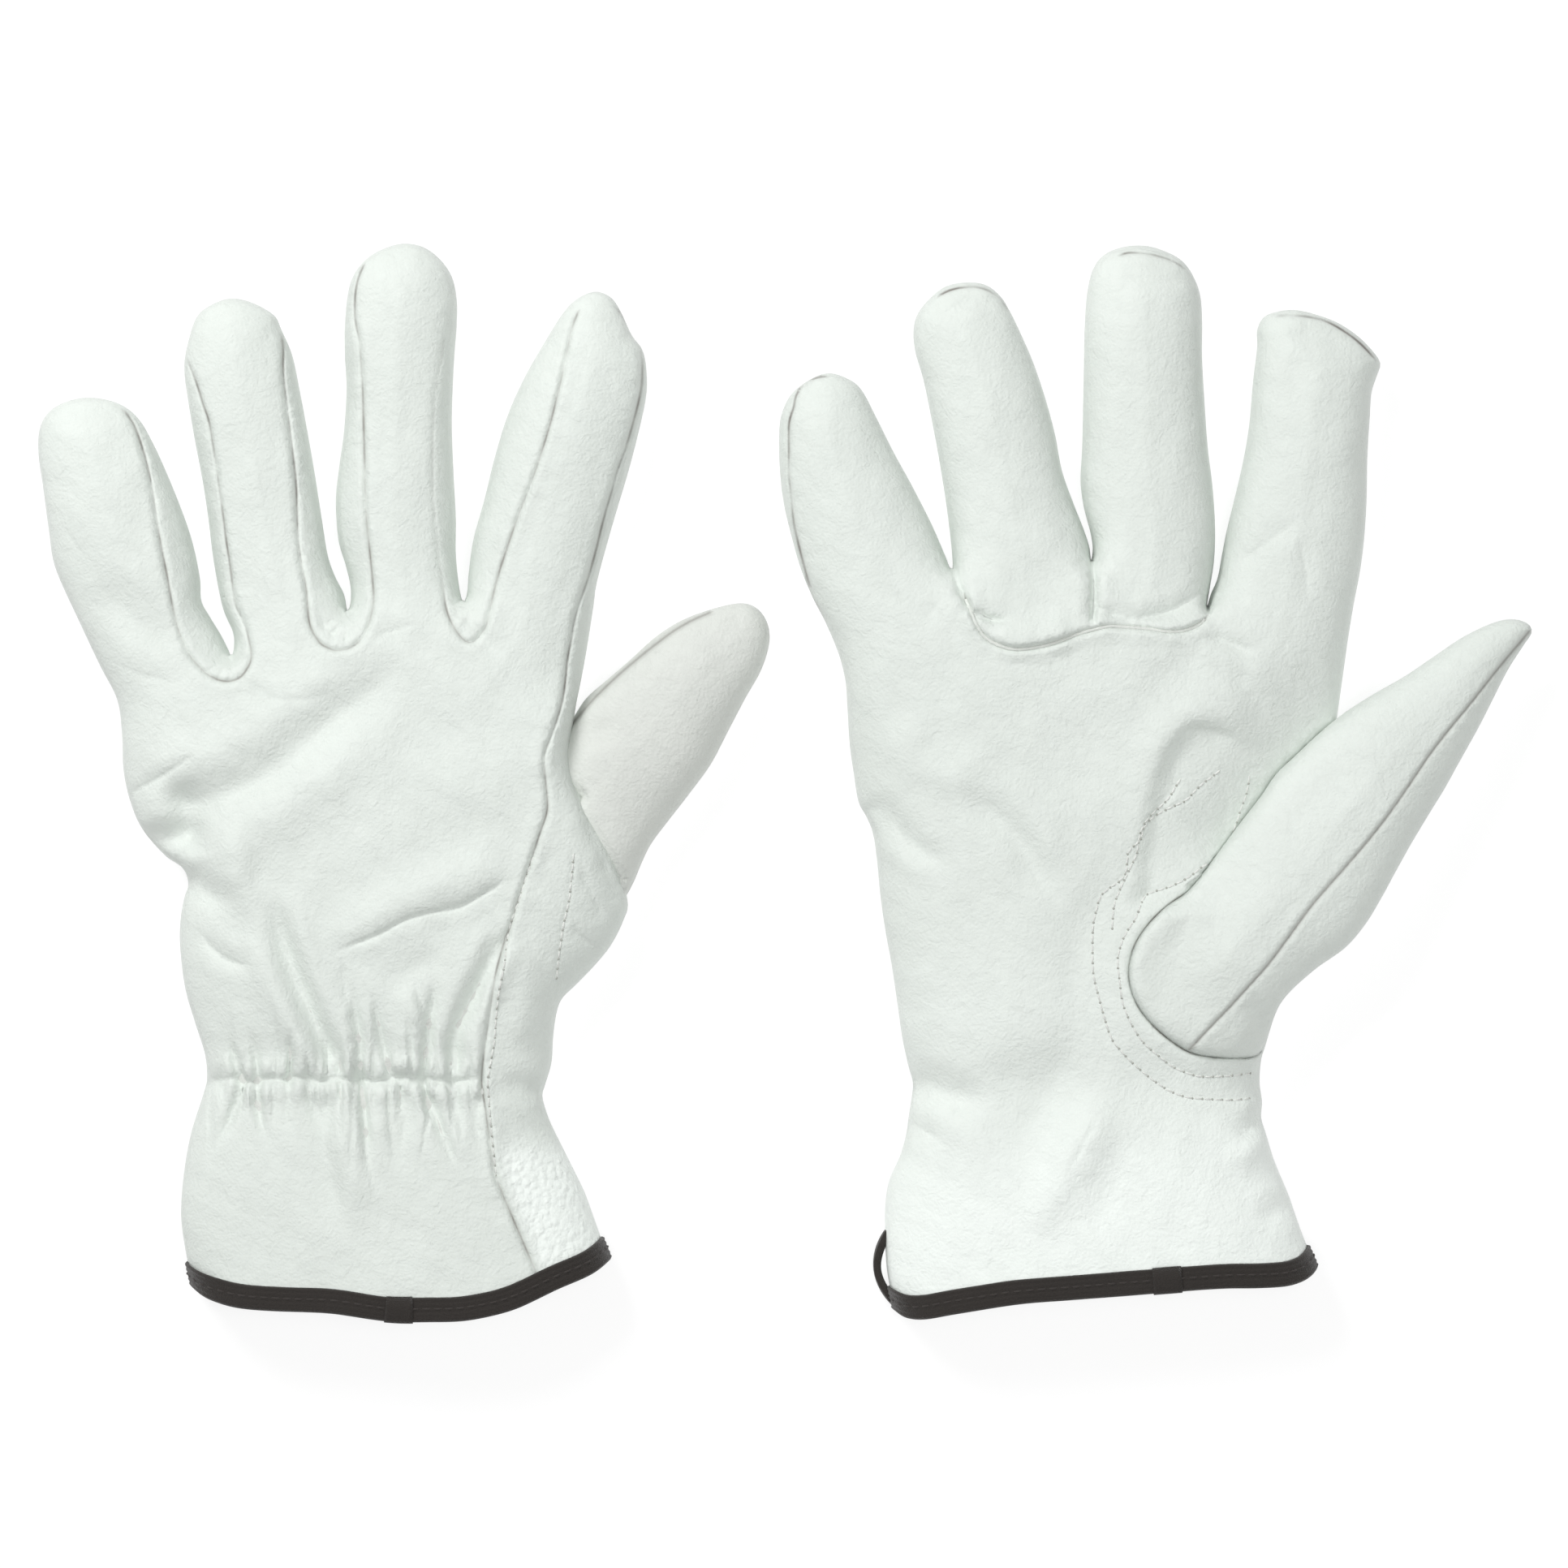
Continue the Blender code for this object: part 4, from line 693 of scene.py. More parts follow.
RIGHT_FOLDS = [
    Fold("valley", [(1172, 978), (1190, 981), (1215, 998), (1237, 1015), (1258, 1040), (1273, 1067), (1295, 1095), (1319, 1124)], 3.2, 1.0, (0.25, 0.4), 0.1),
    Fold("valley", [(1066, 986), (1090, 1002), (1110, 1024), (1133, 1046), (1155, 1058), (1178, 1067)], 2.6, 1.1, (0.1, 0.4), -0.1),
    Fold("ridge", [(1120, 935), (1170, 945), (1215, 968)], 6.0, 0.7, (0.4, 0.4)),
    Fold("valley", [(1128, 905), (1160, 930), (1172, 965)], 5.0, 0.7, (0.4, 0.4)),
    Fold("valley", [(1352, 1230), (1320, 1292), (1304, 1325), (1278, 1365), (1252, 1403), (1222, 1456)], 7.0, 1.1, (0.4, 0.35), 0.1),
    Fold("ridge", [(1372, 1322), (1340, 1387), (1306, 1452), (1262, 1532)], 4.4, 0.8, (0.35, 0.3)),
    Fold("crease", [(1352, 1368), (1330, 1412), (1312, 1450)], 1.1, 0.35, (0.3, 0.4)),
    Fold("valley", [(1400, 1372), (1380, 1420), (1368, 1470), (1352, 1530)], 6.0, 0.35, (0.3, 0.3)),
    Fold("valley", [(1460, 1375), (1490, 1420), (1530, 1465), (1568, 1515)], 5.0, 0.45, (0.3, 0.3)),
    Fold("valley", [(1124, 1337), (1150, 1340), (1185, 1352), (1225, 1362)], 3.4, 1.2, (0.05, 0.5)),
    Fold("crease", [(1118, 1384), (1140, 1392), (1165, 1410)], 1.8, 0.7, (0.1, 0.5)),
    Fold("valley", [(1100, 1215), (1120, 1240), (1150, 1255)], 3.5, 0.7, (0.1, 0.5)),
    Fold("valley", [(1558, 1372), (1540, 1388), (1516, 1396)], 2.2, 1.2, (0.05, 0.5)),
    Fold("ridge", [(1556, 1402), (1530, 1420), (1500, 1425)], 3.2, 0.7, (0.1, 0.5)),
    Fold("valley", [(1590, 1478), (1570, 1492), (1548, 1512)], 2.6, 0.8, (0.1, 0.5)),
    Fold("crease", [(1511, 704), (1532, 690), (1560, 668), (1603, 637)], 1.8, 0.5, (0.3, 0.3)),
    Fold("crease", [(1597, 667), (1606, 700), (1609, 747)], 1.8, 0.4, (0.3, 0.3)),
    Fold("crease", [(1493, 730), (1512, 734), (1535, 741)], 1.4, 0.5, (0.1, 0.4)),
    Fold("valley", [(1487, 784), (1515, 794), (1548, 810)], 1.8, 0.7, (0.1, 0.4)),
    Fold("valley", [(1511, 814), (1530, 840), (1550, 870), (1572, 900)], 2.4, 0.8, (0.3, 0.3)),
    Fold("ridge", [(1404, 984), (1420, 925), (1446, 892), (1480, 880), (1520, 892), (1560, 922)], 3.4, 0.5, (0.3, 0.2)),
    Fold("valley", [(1400, 1010), (1440, 975), (1475, 945), (1515, 930), (1556, 942)], 5.0, 0.1, (0.45, 0.2)),
    Fold("bowl", [(1573, 951), (1545, 975), (1520, 1020), (1480, 1050)], 6.5, 1.0, (0.2, 0.4)),
    Fold("crease", [(1500, 962), (1512, 985), (1508, 1010)], 0.8, 0.4, (0.3, 0.3)),
    Fold("crease", [(1470, 1000), (1480, 1022), (1472, 1040)], 0.8, 0.4, (0.3, 0.3)),
    Fold("crease", [(1440, 905), (1480, 897), (1530, 915)], 1.6, 0.35, (0.3, 0.3)),
    Fold("valley", [(1173, 703), (1181, 722), (1188, 742), (1197, 757)], 1.2, 1.5, (0.02, 0.3)),
    Fold("valley", [(1345, 693), (1346, 716), (1346, 742), (1343, 771)], 1.1, 1.9, (0.02, 0.15)),
    Fold("crease", [(1199, 753), (1212, 761), (1226, 765), (1246, 764)], 1.0, 1.7, (0.1, 0.6)),
    Fold("crease", [(1160, 730), (1150, 752), (1132, 772)], 1.6, 0.35, (0.3, 0.5)),
    Fold("crease", [(1345, 744), (1365, 757), (1389, 764), (1425, 758), (1455, 746), (1487, 724)], 1.5, 1.0, (0.15, 0.2)),
    Fold("ridge", [(1215, 776), (1250, 784), (1290, 778), (1330, 765)], 2.6, 1.0, (0.2, 0.3)),
    Fold("bowl", [(1230, 720), (1290, 716), (1320, 700)], 6.0, 0.6, (0.4, 0.4)),
    Fold("ridge", [(1260, 690), (1300, 660), (1310, 640)], 5.0, 0.4, (0.4, 0.4)),
    Fold("crease", [(1370, 349), (1400, 344), (1435, 348), (1468, 355)], 1.8, 0.4, (0.3, 0.3)),
    Fold("crease", [(1166, 384), (1195, 372), (1228, 384)], 1.6, 0.35, (0.3, 0.3)),
    Fold("crease", [(1580, 412), (1620, 414), (1660, 432)], 1.8, 0.45, (0.3, 0.3)),
    Fold("valley", [(1600, 425), (1590, 470), (1585, 520)], 4.0, 0.4, (0.4, 0.4)),
    Fold("bowl", [(1300, 860), (1330, 930), (1320, 1010)], 10.0, 0.8, (0.4, 0.4)),
    Fold("valley", [(1480, 800), (1440, 830), (1400, 850)], 4.0, 0.5, (0.3, 0.4)),
    Fold("ridge", [(1100, 880), (1110, 930), (1090, 975)], 5.0, 0.6, (0.4, 0.4)),
]


def tape_ribs(off):
    return 0.10 * math.cos(2 * math.pi * off / 1.15)


class Glove:
    pleats = ()

    def __init__(self, d, folds, zc=8.0, size=11.0):
        self.d, self.side, self.folds = d, d["side"], folds
        sides = spline(G(d["outline"]), 1.0)
        hem = spline(G(d["hem"]), 1.0)
        self.hem = hem
        self.nb_side = len(sides)
        self.loop = np.vstack([sides, hem[1:-1]])
        big = np.vstack([sides, G(d["past"])])
        edge = np.vstack([G(d["past"])[4:], sides, G(d["past"])[:2]])
        self.pillow = Pillow(big, edge, size)
        self.zc0 = zc
        self.seams = [spline(G(s), 0.9) for s in d["seams"]]
        self.rows = [(spline(G(s), pitch / 3), pitch) for s, pitch in d["stitches"]]
        self.extra_top = None

    def zc(self, P):
        z = np.full(len(P), self.zc0)
        if self.side == "left":
            # the flap over the thumb's base rides higher
            d, _, along, total = near(P, G([(703, 900), (701, 935), (722, 994), (758, 1060), (774, 1112)]), 30.0)
            z += 5.0 * np.exp(-((d / 11.0) ** 2)) * smooth((1.15 - along / total) / 0.7)
        return z

    def base(self, P):
        s, d = self.pillow(P)
        return s, d

    def top(self, P):
        s, d = self.base(P)
        z = self.zc(P) + s * self.amp(P)
        edge = smooth(s / 5.0)
        f = np.zeros(len(P))
        for fold in self.folds:
            f += fold(P)
        f += self.gathers(P)
        z += f * edge
        for k, line in enumerate(self.seams):
            z += seam_height(P, line, phase=k * 1.7, **self.seam_style(k)) * smooth(s / 2.5)
        for line, pitch in self.rows:
            z += stitch_height(P, line, pitch)
        # faint unevenness of a hide that isn't pressed
        x, y = P[:, 0], P[:, 1]
        z += edge * (0.22 * np.sin(x * 0.21 + 1.3 * np.sin(y * 0.13)) * np.sin(y * 0.17 + 0.6) + 0.10 * np.sin(x * 0.55 + y * 0.31) * np.sin(y * 0.47 - x * 0.12))
        if self.extra_top is not None:
            z = self.extra_top(P, z)
        return z

    def amp(self, P):
        return np.ones(len(P))

    def seam_style(self, k):
        return {}

    def gathers(self, P):
        return np.zeros(len(P))

    def bottom(self, P):
        s, d = self.base(P)
        zb = self.zc(P) - s * 0.95
        dh = near(P, self.hem, 16.0)[0]
        floor = 0.35 + 1.5 * (1 - smooth(dh / 14.0)) * (dh < 900)
        zb = floor + np.logaddexp(0, (zb - floor) / 0.9) * 0.9
        return zb

    def groove(self, P):
        # the seams' dark line: partly the seam's own dark join, partly painted shade in the groove
        g = np.zeros(len(P))
        for k, line in enumerate(self.seams):
            d, _, s, total = near(P, line, 3.0)
            hit = d < 900
            quiet = self.seam_style(k).get("quiet", 0.0)
            uneven = 0.55 + 0.3 * np.sin(s[hit] * 0.19 + k) + 0.15 * np.sin(s[hit] * 0.83 + 2 * k)
            g[hit] = np.maximum(g[hit], self.seam_join_and_shade(k) * uneven * np.exp(-((d[hit] / 0.29) ** 2)) * (0.25 + 0.75 * smooth((s[hit] - quiet) / 8.0) if quiet else 1.0) * smooth(s[hit] / 2) * smooth((total - s[hit]) / 2))
        return g

    def seam_join_and_shade(self, k):
        return 0.95

    def coarse(self, P):
        return np.zeros(len(P))

    def painted_light(self, P):
        # painted light: the brighter colour lies wherever the coarse grain lies, on the left cuff's strip
        return self.coarse(P)

    def build(self):
        loop = self.loop
        lines = self.seams
        self.gathers(self.loop[:4])
        fine = [l for l, _ in self.rows] + ([self.shirr] if self.side == "left" else []) + [f.line for f in [*self.folds, *self.pleats] if f.w < 2.1]
        v2, faces, nb = triangulate(loop, lines, fine, spacing=1.55)
        zt = self.top(v2)
        b2, bf, nb2 = triangulate(loop, (), (), spacing=3.4, rings=(0.3, 1.2, 2.8))
        zb = self.bottom(b2)
        zc = self.zc(v2[:nb])
        # along the sides top and bottom meet; along the hem they stay apart
        ns = self.nb_side
        top = np.column_stack([v2, zt])
        bot = np.column_stack([b2, zb])
        top[:ns, 2] = zc[:ns]
        shared = np.arange(len(b2)) < ns
        remap = np.where(shared, np.arange(len(b2)), np.cumsum(~shared) - 1 + len(v2))
        verts = np.vstack([top, bot[~shared]])
        allf = np.vstack([faces, remap[bf][:, ::-1]])
        normals = vertex_normals(verts, allf)
        self.verts, self.faces, self.normals, self.ntop = verts, allf, normals, len(faces)
        P = verts[:, :2]
        istop = np.zeros(len(verts))
        istop[:len(v2)] = 1
        # per-vertex attributes of the top skin only: the seams' dark line (partly the join, partly painted shade), the
        # coarse grain, and painted light on the cuffs
        attrs = {"groove": self.groove(P) * istop, "coarse": self.coarse(P) * istop, "painted_light": self.painted_light(P) * istop}
        mid = verts[allf].mean(1)[:, :2]
        label = np.zeros(len(allf), int)
        seps = [G(s) for s in self.d["sep"]]
        sx = [np.interp(mid[:, 1], s[::-1, 1], s[::-1, 0]) for s in seps]
        col = (mid[:, 0] > sx[0]).astype(int) + (mid[:, 0] > sx[1]).astype(int) + (mid[:, 0] > sx[2]).astype(int)
        names = ["little", "ring", "middle", "index"]
        self.frames = {}
        for k, name in enumerate(names):
            a, b = G(self.d["cuts"][name])
            t = (b - a) / np.linalg.norm(b - a)
            n = np.array([-t[1], t[0]])
            beyond = (mid - a) @ n > 0
            label[beyond & (col == k)] = k + 1
            self.frames[name] = ((a + b) / 2, n)
        if "thumb_cut" in self.d:
            a, b = G(self.d["thumb_cut"])
            t = (b - a) / np.linalg.norm(b - a)
            n = np.array([-t[1], t[0]])
            lo, hi = min(a[1], b[1]), max(a[1], b[1])
            beyond = ((mid - a) @ n > 0) & (mid[:, 1] > lo) & (mid[:, 1] < hi) & (label == 0)
            label[beyond] = 5
            self.frames["thumb"] = ((a + b) / 2, n)
        self.label = label
        s = self.side
        self.pieces = {"hand": part_mesh(f"{s}_hand_skin", verts, allf, normals, label == 0, M_SKIN, attrs)}
        for k, name in enumerate(names):
            self.pieces[name] = part_mesh(f"{s}_{name}_stall", verts, allf, normals, label == k + 1, M_SKIN, attrs)
        if "thumb" in self.frames:
            self.pieces["web"] = part_mesh(f"{s}_thumb_web", verts, allf, normals, label == 5, M_SKIN, attrs)
        return self

    def normal_at(self, P, e=0.5):
        zx = (self.top(P + [e, 0]) - self.top(P - [e, 0])) / (2 * e)
        zy = (self.top(P + [0, e]) - self.top(P - [0, e])) / (2 * e)
        n = np.stack([-zx, -zy, np.ones(len(P))], 1)
        return n / np.linalg.norm(n, axis=1, keepdims=True)

    def stitch_rows(self):
        C, D, U = [], [], []
        for line, pitch in self.rows:
            s = np.concatenate([[0], np.cumsum(np.linalg.norm(np.diff(line, axis=0), axis=1))])
            k = int(s[-1] / pitch)
            at = (np.arange(k) + 0.5) * pitch
            pts = np.stack([np.interp(at, s, line[:, 0]), np.interp(at, s, line[:, 1])], 1)
            ahead = np.stack([np.interp(at + 0.5, s, line[:, 0]), np.interp(at + 0.5, s, line[:, 1])], 1)
            z0, z1 = self.top(pts), self.top(ahead)
            n = self.normal_at(pts)
            for i in range(k):
                C.append(np.array([pts[i, 0], pts[i, 1], z0[i]]) + n[i] * 0.10)
                D.append(np.array([ahead[i, 0] - pts[i, 0], ahead[i, 1] - pts[i, 1], z1[i] - z0[i]]))
                U.append(n[i])
        # a grey spot at each stitch's end: painted shade inside the needle hole
        H = []
        for c, d, n in zip(C, D, U):
            d = d / np.linalg.norm(d)
            H.append(c + d * 1.08 - n * 0.02)
        self.holes = capsules(f"{self.side}_needle_holes", H, D, U, 0.62, 0.27, M_HOLE_SHADE, flat=0.5)
        return capsules(f"{self.side}_gusset_stitches", C, D, U, 1.7, 0.22, M_WHITE)

    # the cuff's edge, from the hem's first point over the top to its last and back underneath
    def cuff_path(self, count=420):
        hem = self.hem[::-1]
        s = np.concatenate([[0], np.cumsum(np.linalg.norm(np.diff(hem, axis=0), axis=1))])
        phi = np.linspace(0, np.pi, count // 2 + 1)
        u = s[-1] * (1 - np.cos(phi)) / 2
        P = np.stack([np.interp(u, s, hem[:, 0]), np.interp(u, s, hem[:, 1])], 1)
        zt, zb = self.top(P), self.bottom(P)
        z0 = self.zc(P)
        zt[0] = zb[0] = z0[0]
        zt[-1] = zb[-1] = z0[-1]
        path = np.vstack([np.column_stack([P, zt]), np.column_stack([P, zb])[::-1][1:-1]])
        half = np.concatenate([np.ones(len(P)), -np.ones(len(P) - 2)])
        # even steps
        ring = np.vstack([path, path[:1]])
        a = np.concatenate([[0], np.cumsum(np.linalg.norm(np.diff(ring, axis=0), axis=1))])
        k = int(a[-1] / 0.95)
        at = np.arange(k) * a[-1] / k
        half = np.sign(np.interp(at, a, np.append(half, 1.0)) + 1e-6)
        path = np.stack([np.interp(at, a, ring[:, j]) for j in range(3)], 1)
        for _ in range(3):
            path = 0.25 * np.roll(path, 1, 0) + 0.5 * path + 0.25 * np.roll(path, -1, 0)
        tan = np.roll(path, -2, 0) - np.roll(path, 2, 0)
        tan /= np.linalg.norm(tan, axis=1, keepdims=True)
        # up the glove, along its skin: with the outline at both corners, straight up between them
        first, last = self.loop[6] - self.loop[0], self.loop[self.nb_side - 7] - self.loop[self.nb_side - 1]
        first, last = first / np.linalg.norm(first), last / np.linalg.norm(last)
        dl = smooth(np.linalg.norm(path[:, :2] - hem[0], axis=1) / 16.0)[:, None]
        dr = smooth(np.linalg.norm(path[:, :2] - hem[-1], axis=1) / 16.0)[:, None]
        mid = np.array([[0.0, 1.0]])
        up2 = mid * dl * dr + first[None] * (1 - dl) + last[None] * (1 - dr)
        up2 /= np.linalg.norm(up2, axis=1, keepdims=True)
        Q = path[:, :2]
        rise_t = (self.top(Q + up2 * 4) - self.top(Q)) / 4
        rise_b = (self.bottom(Q + up2 * 4) - self.bottom(Q)) / 4
        rise = np.where(half > 0, rise_t, rise_b) * (dl * dr)[:, 0]
        for _ in range(4):
            rise = 0.25 * np.roll(rise, 1) + 0.5 * rise + 0.25 * np.roll(rise, -1)
        ups = np.column_stack([up2, np.clip(rise, -0.5, 0.5)])
        ups -= tan * np.einsum("ij,ij->i", ups, tan)[:, None]
        for _ in range(2):
            ups = 0.25 * np.roll(ups, 1, 0) + 0.5 * ups + 0.25 * np.roll(ups, -1, 0)
        ups /= np.linalg.norm(ups, axis=1, keepdims=True)
        outs = np.cross(ups, tan)
        if np.mean(np.einsum("ij,ij->i", outs, path - path.mean(0))) < 0:
            outs = -outs
        outs /= np.linalg.norm(outs, axis=1, keepdims=True)
        return path, outs, ups, tan

    def binding(self):
        path, outs, ups, tan = self.cuff_path()
        W = 5.3
        prof = []
        for k in range(15):
            u = W - 0.15 - (W - 0.25) * k / 14
            prof.append((0.72 + tape_ribs(u) - (0.30 if k == 0 else 0.0), u))
        prof += [(0.62, -0.15), (0.3, -0.5), (-0.3, -0.65), (-0.8, -0.5), (-1.1, -0.2)]
        for k in range(7):
            prof.append((-1.2 + (0.25 if k == 6 else 0.0), 0.2 + (W - 0.9) * k / 6))
        prof += [(-0.7, W - 0.8), (0.0, W - 1.0), (0.2, W - 0.2)]
        tape = sweep(f"{self.side}_hem_tape", path, outs, ups, prof, M_TAPE)
        # running stitch along its middle, outside
        s = np.concatenate([[0], np.cumsum(np.linalg.norm(np.diff(np.vstack([path, path[:1]]), axis=0), axis=1))])
        k = int(s[-1] / 2.7)
        at = (np.arange(k) + 0.5) * s[-1] / k
        ring = lambda a: np.stack([np.interp(at, s, np.append(a[:, j], a[0, j])) for j in range(3)], 1)
        c = ring(path) + ring(outs) * 0.84 + ring(ups) * (W * 0.47)
        st = capsules(f"{self.side}_hem_stitches", c, ring(tan), ring(outs), 2.0, 0.24, M_BLACK, flat=0.8)
        # the tape's two ends lapped over each other
        j0 = self.join_at(path)
        m = 8
        idx = [(j0 + i) % len(path) for i in range(m)]
        lap = [(1.1, W + 0.1), (1.15, W * 0.5), (1.05, 0.0), (0.6, -0.7), (-0.3, -0.95), (-1.0, -0.75), (-0.6, -0.3), (0.3, 0.0), (0.5, W * 0.5), (0.45, W - 0.2)]
        lapo = sweep(f"{self.side}_hem_join", path[idx], outs[idx], ups[idx], lap, M_TAPE, closed=False)
        return tape, st, lapo

    def join_at(self, path):
        x = G([self.d.get("join", (475, 1615))])[0][0]
        half = len(path) // 2
        return int(np.argmin(np.abs(path[:half, 0] - x)))

    def lining(self, depth_line):
        """The suede inside of the hand, open at the cuff."""
        y_stop = depth_line
        loop = self.loop
        area = 0.5 * np.sum(loop[:, 0] * np.roll(loop[:, 1], -1) - np.roll(loop[:, 0], -1) * loop[:, 1])
        v2, faces, nb = triangulate(loop, (), (), spacing=3.6, rings=(0.5, 1.5, 3.2))
        n = normals_2d(loop, True) * (1 if area > 0 else -1)
        P = v2.copy()
        ns = self.nb_side
        P[:ns] = loop[:ns] + n[:ns] * 0.9
        zt, zb = self.top(v2) - 1.25, self.bottom(v2) + 1.15
        mid = self.zc(v2)
        thin = zt - zb < 0.8
        zt = np.where(thin, mid + 0.4, zt)
        zb = np.where(thin, mid - 0.4, zb)
        zt[:ns] = zb[:ns] = mid[:ns]
        top = np.column_stack([P, zt])
        bot = np.column_stack([P, zb])
        shared = np.arange(len(P)) < ns
        remap = np.where(shared, np.arange(len(P)), np.cumsum(~shared) - 1 + len(P))
        verts = np.vstack([top, bot[~shared]])
        allf = np.vstack([faces[:, ::-1], remap[faces]])
        pick = verts[allf].mean(1)[:, 1] < y_stop
        used, inv = np.unique(allf[pick], return_inverse=True)
        return make_mesh(f"{self.side}_inside", verts[used], inv.reshape(-1, 3), M_INSIDE)


def join_meshes(obj, others):
    """Adds the other objects' faces to obj."""
    bpy.ops.object.select_all(action="DESELECT")
    for o in [obj, *others]:
        o.select_set(True)
    bpy.context.view_layer.objects.active = obj
    bpy.ops.object.join()
    return obj


class LeftGlove(Glove):
    def seam_style(self, k):
        return {"quiet": 58.0} if k == 2 else {}

    def gathers(self, P):
        """The elastic's line across the back of the wrist, and the pleats it draws in."""
        if not self.pleats:
            r = np.random.default_rng(11)
            xs = np.linspace(262, 596, 24) + r.uniform(-5, 5, 24)
            dips = r.uniform(-3.5, 3.5, 24)
            self.shirr = spline(G([(250, 1330), *[(x, 1329 + q) for x, q in zip(xs, dips)], (606, 1329)]), 0.8)
            self.pleats = []
            for x, q in zip(xs, dips):
                up, down = r.uniform(24, 105), r.uniform(28, 125)
                deep = r.uniform(0.55, 1.15) * (0.6 if x < 300 else 1.0)
                self.pleats.append(Fold("crease" if r.uniform() < 0.5 else "valley", [(x + r.uniform(-9, 9), 1330 - up), (x + r.uniform(-2, 2), 1330 - up * 0.4), (x, 1330 + q), (x + r.uniform(-3, 3), 1330 + down * 0.4), (x + r.uniform(-11, 11), 1330 + down)], r.uniform(0.6, 1.15), deep, (0.5, 0.55), r.uniform(-0.2, 0.2)))
            self.knots = np.sort(xs)
        z = np.zeros(len(P))
        for f in self.pleats:
            z += f(P)
        d, side, s, total = near(P, self.shirr, 24.0)
        hit = d < 900
        q = d[hit]
        x = (P[hit, 0] - SHIFT[0]) / GRID + MID[0]
        k = np.clip(np.searchsorted(self.knots, x), 1, len(self.knots) - 1)
        u = np.clip((x - self.knots[k - 1]) / (self.knots[k] - self.knots[k - 1]), 0, 1)
        puff = np.sqrt(np.maximum(np.sin(np.pi * u), 0))
        ends = smooth(s[hit] / 10) * smooth((total - s[hit]) / 8)
        z[hit] += (-1.1 * (0.3 + 0.7 * puff) * np.exp(-((q / 0.6) ** 2)) - 1.8 * np.exp(-((q / 10.0) ** 2)) + 1.35 * puff * np.exp(-(((q - 2.8) / 2.0) ** 2))) * ends
        return z

    def coarse(self, P):
        x = (P[:, 0] - SHIFT[0]) / GRID + MID[0]
        y = MID[1] - (P[:, 1] - SHIFT[1]) / GRID
        edge = np.interp(y, [1360, 1441, 1495, 1551, 1600], [604, 615, 636, 660, 680])
        return smooth((x - edge) / 12) * smooth((y - 1385) / 50) * smooth((1565 - y) / 10)


class RightGlove(Glove):
    def seam_join_and_shade(self, k):
        # a stronger dark seam line, partly the join and partly painted shade, on the fingertip seams
        return 1.5 if k in (2, 3, 4, 5) else 1.1

    def painted_light(self, P):
        # painted light: the colour grows brighter towards the cuff and its outer side, standing in for light falling on
        # those slopes
        y = MID[1] - (P[:, 1] - SHIFT[1]) / GRID
        x = (P[:, 0] - SHIFT[0]) / GRID + MID[0]
        return 0.25 * smooth((y - 1130) / 120) + 0.75 * smooth((y - 1345) / 150 + (x - 1300) / 900)

    def seam_style(self, k):
        if k == 1:        # the rolled welt at the finger bases
            return {"depth": 0.9, "half": 0.5, "lip": 0.75}
        if k == 6:        # round the thumb's base
            return {"depth": 0.35, "half": 0.4, "lip": 0.25, "pucker": 0.08}
        if k in (2, 3, 4, 5):
            return {"depth": 0.55, "half": 0.4, "lip": 0.25}
        return {"depth": 0.6, "half": 0.42, "lip": 0.3}

    def gathers(self, P):
        """The palm is drawn in a little at the wrist by the elastic behind it."""
        y = MID[1] - (P[:, 1] - SHIFT[1]) / GRID
        z = -2.2 * np.exp(-(((y - 1338) / 46) ** 2))
        rim = spline(G([(1386, 1120), (1392, 1085), (1396, 1035), (1408, 978), (1426, 926), (1450, 895), (1482, 882), (1518, 888), (1552, 908), (1586, 935), (1640, 960), (1640, 1100), (1480, 1130)]), 2.0, closed=True)
        ins = inside(P, rim)
        d = np.minimum(near(P, rim, 20.0, closed=True)[0], 20.0)
        z -= np.where(ins, 2.6 * smooth(d / 5.0), 0.0)
        return z


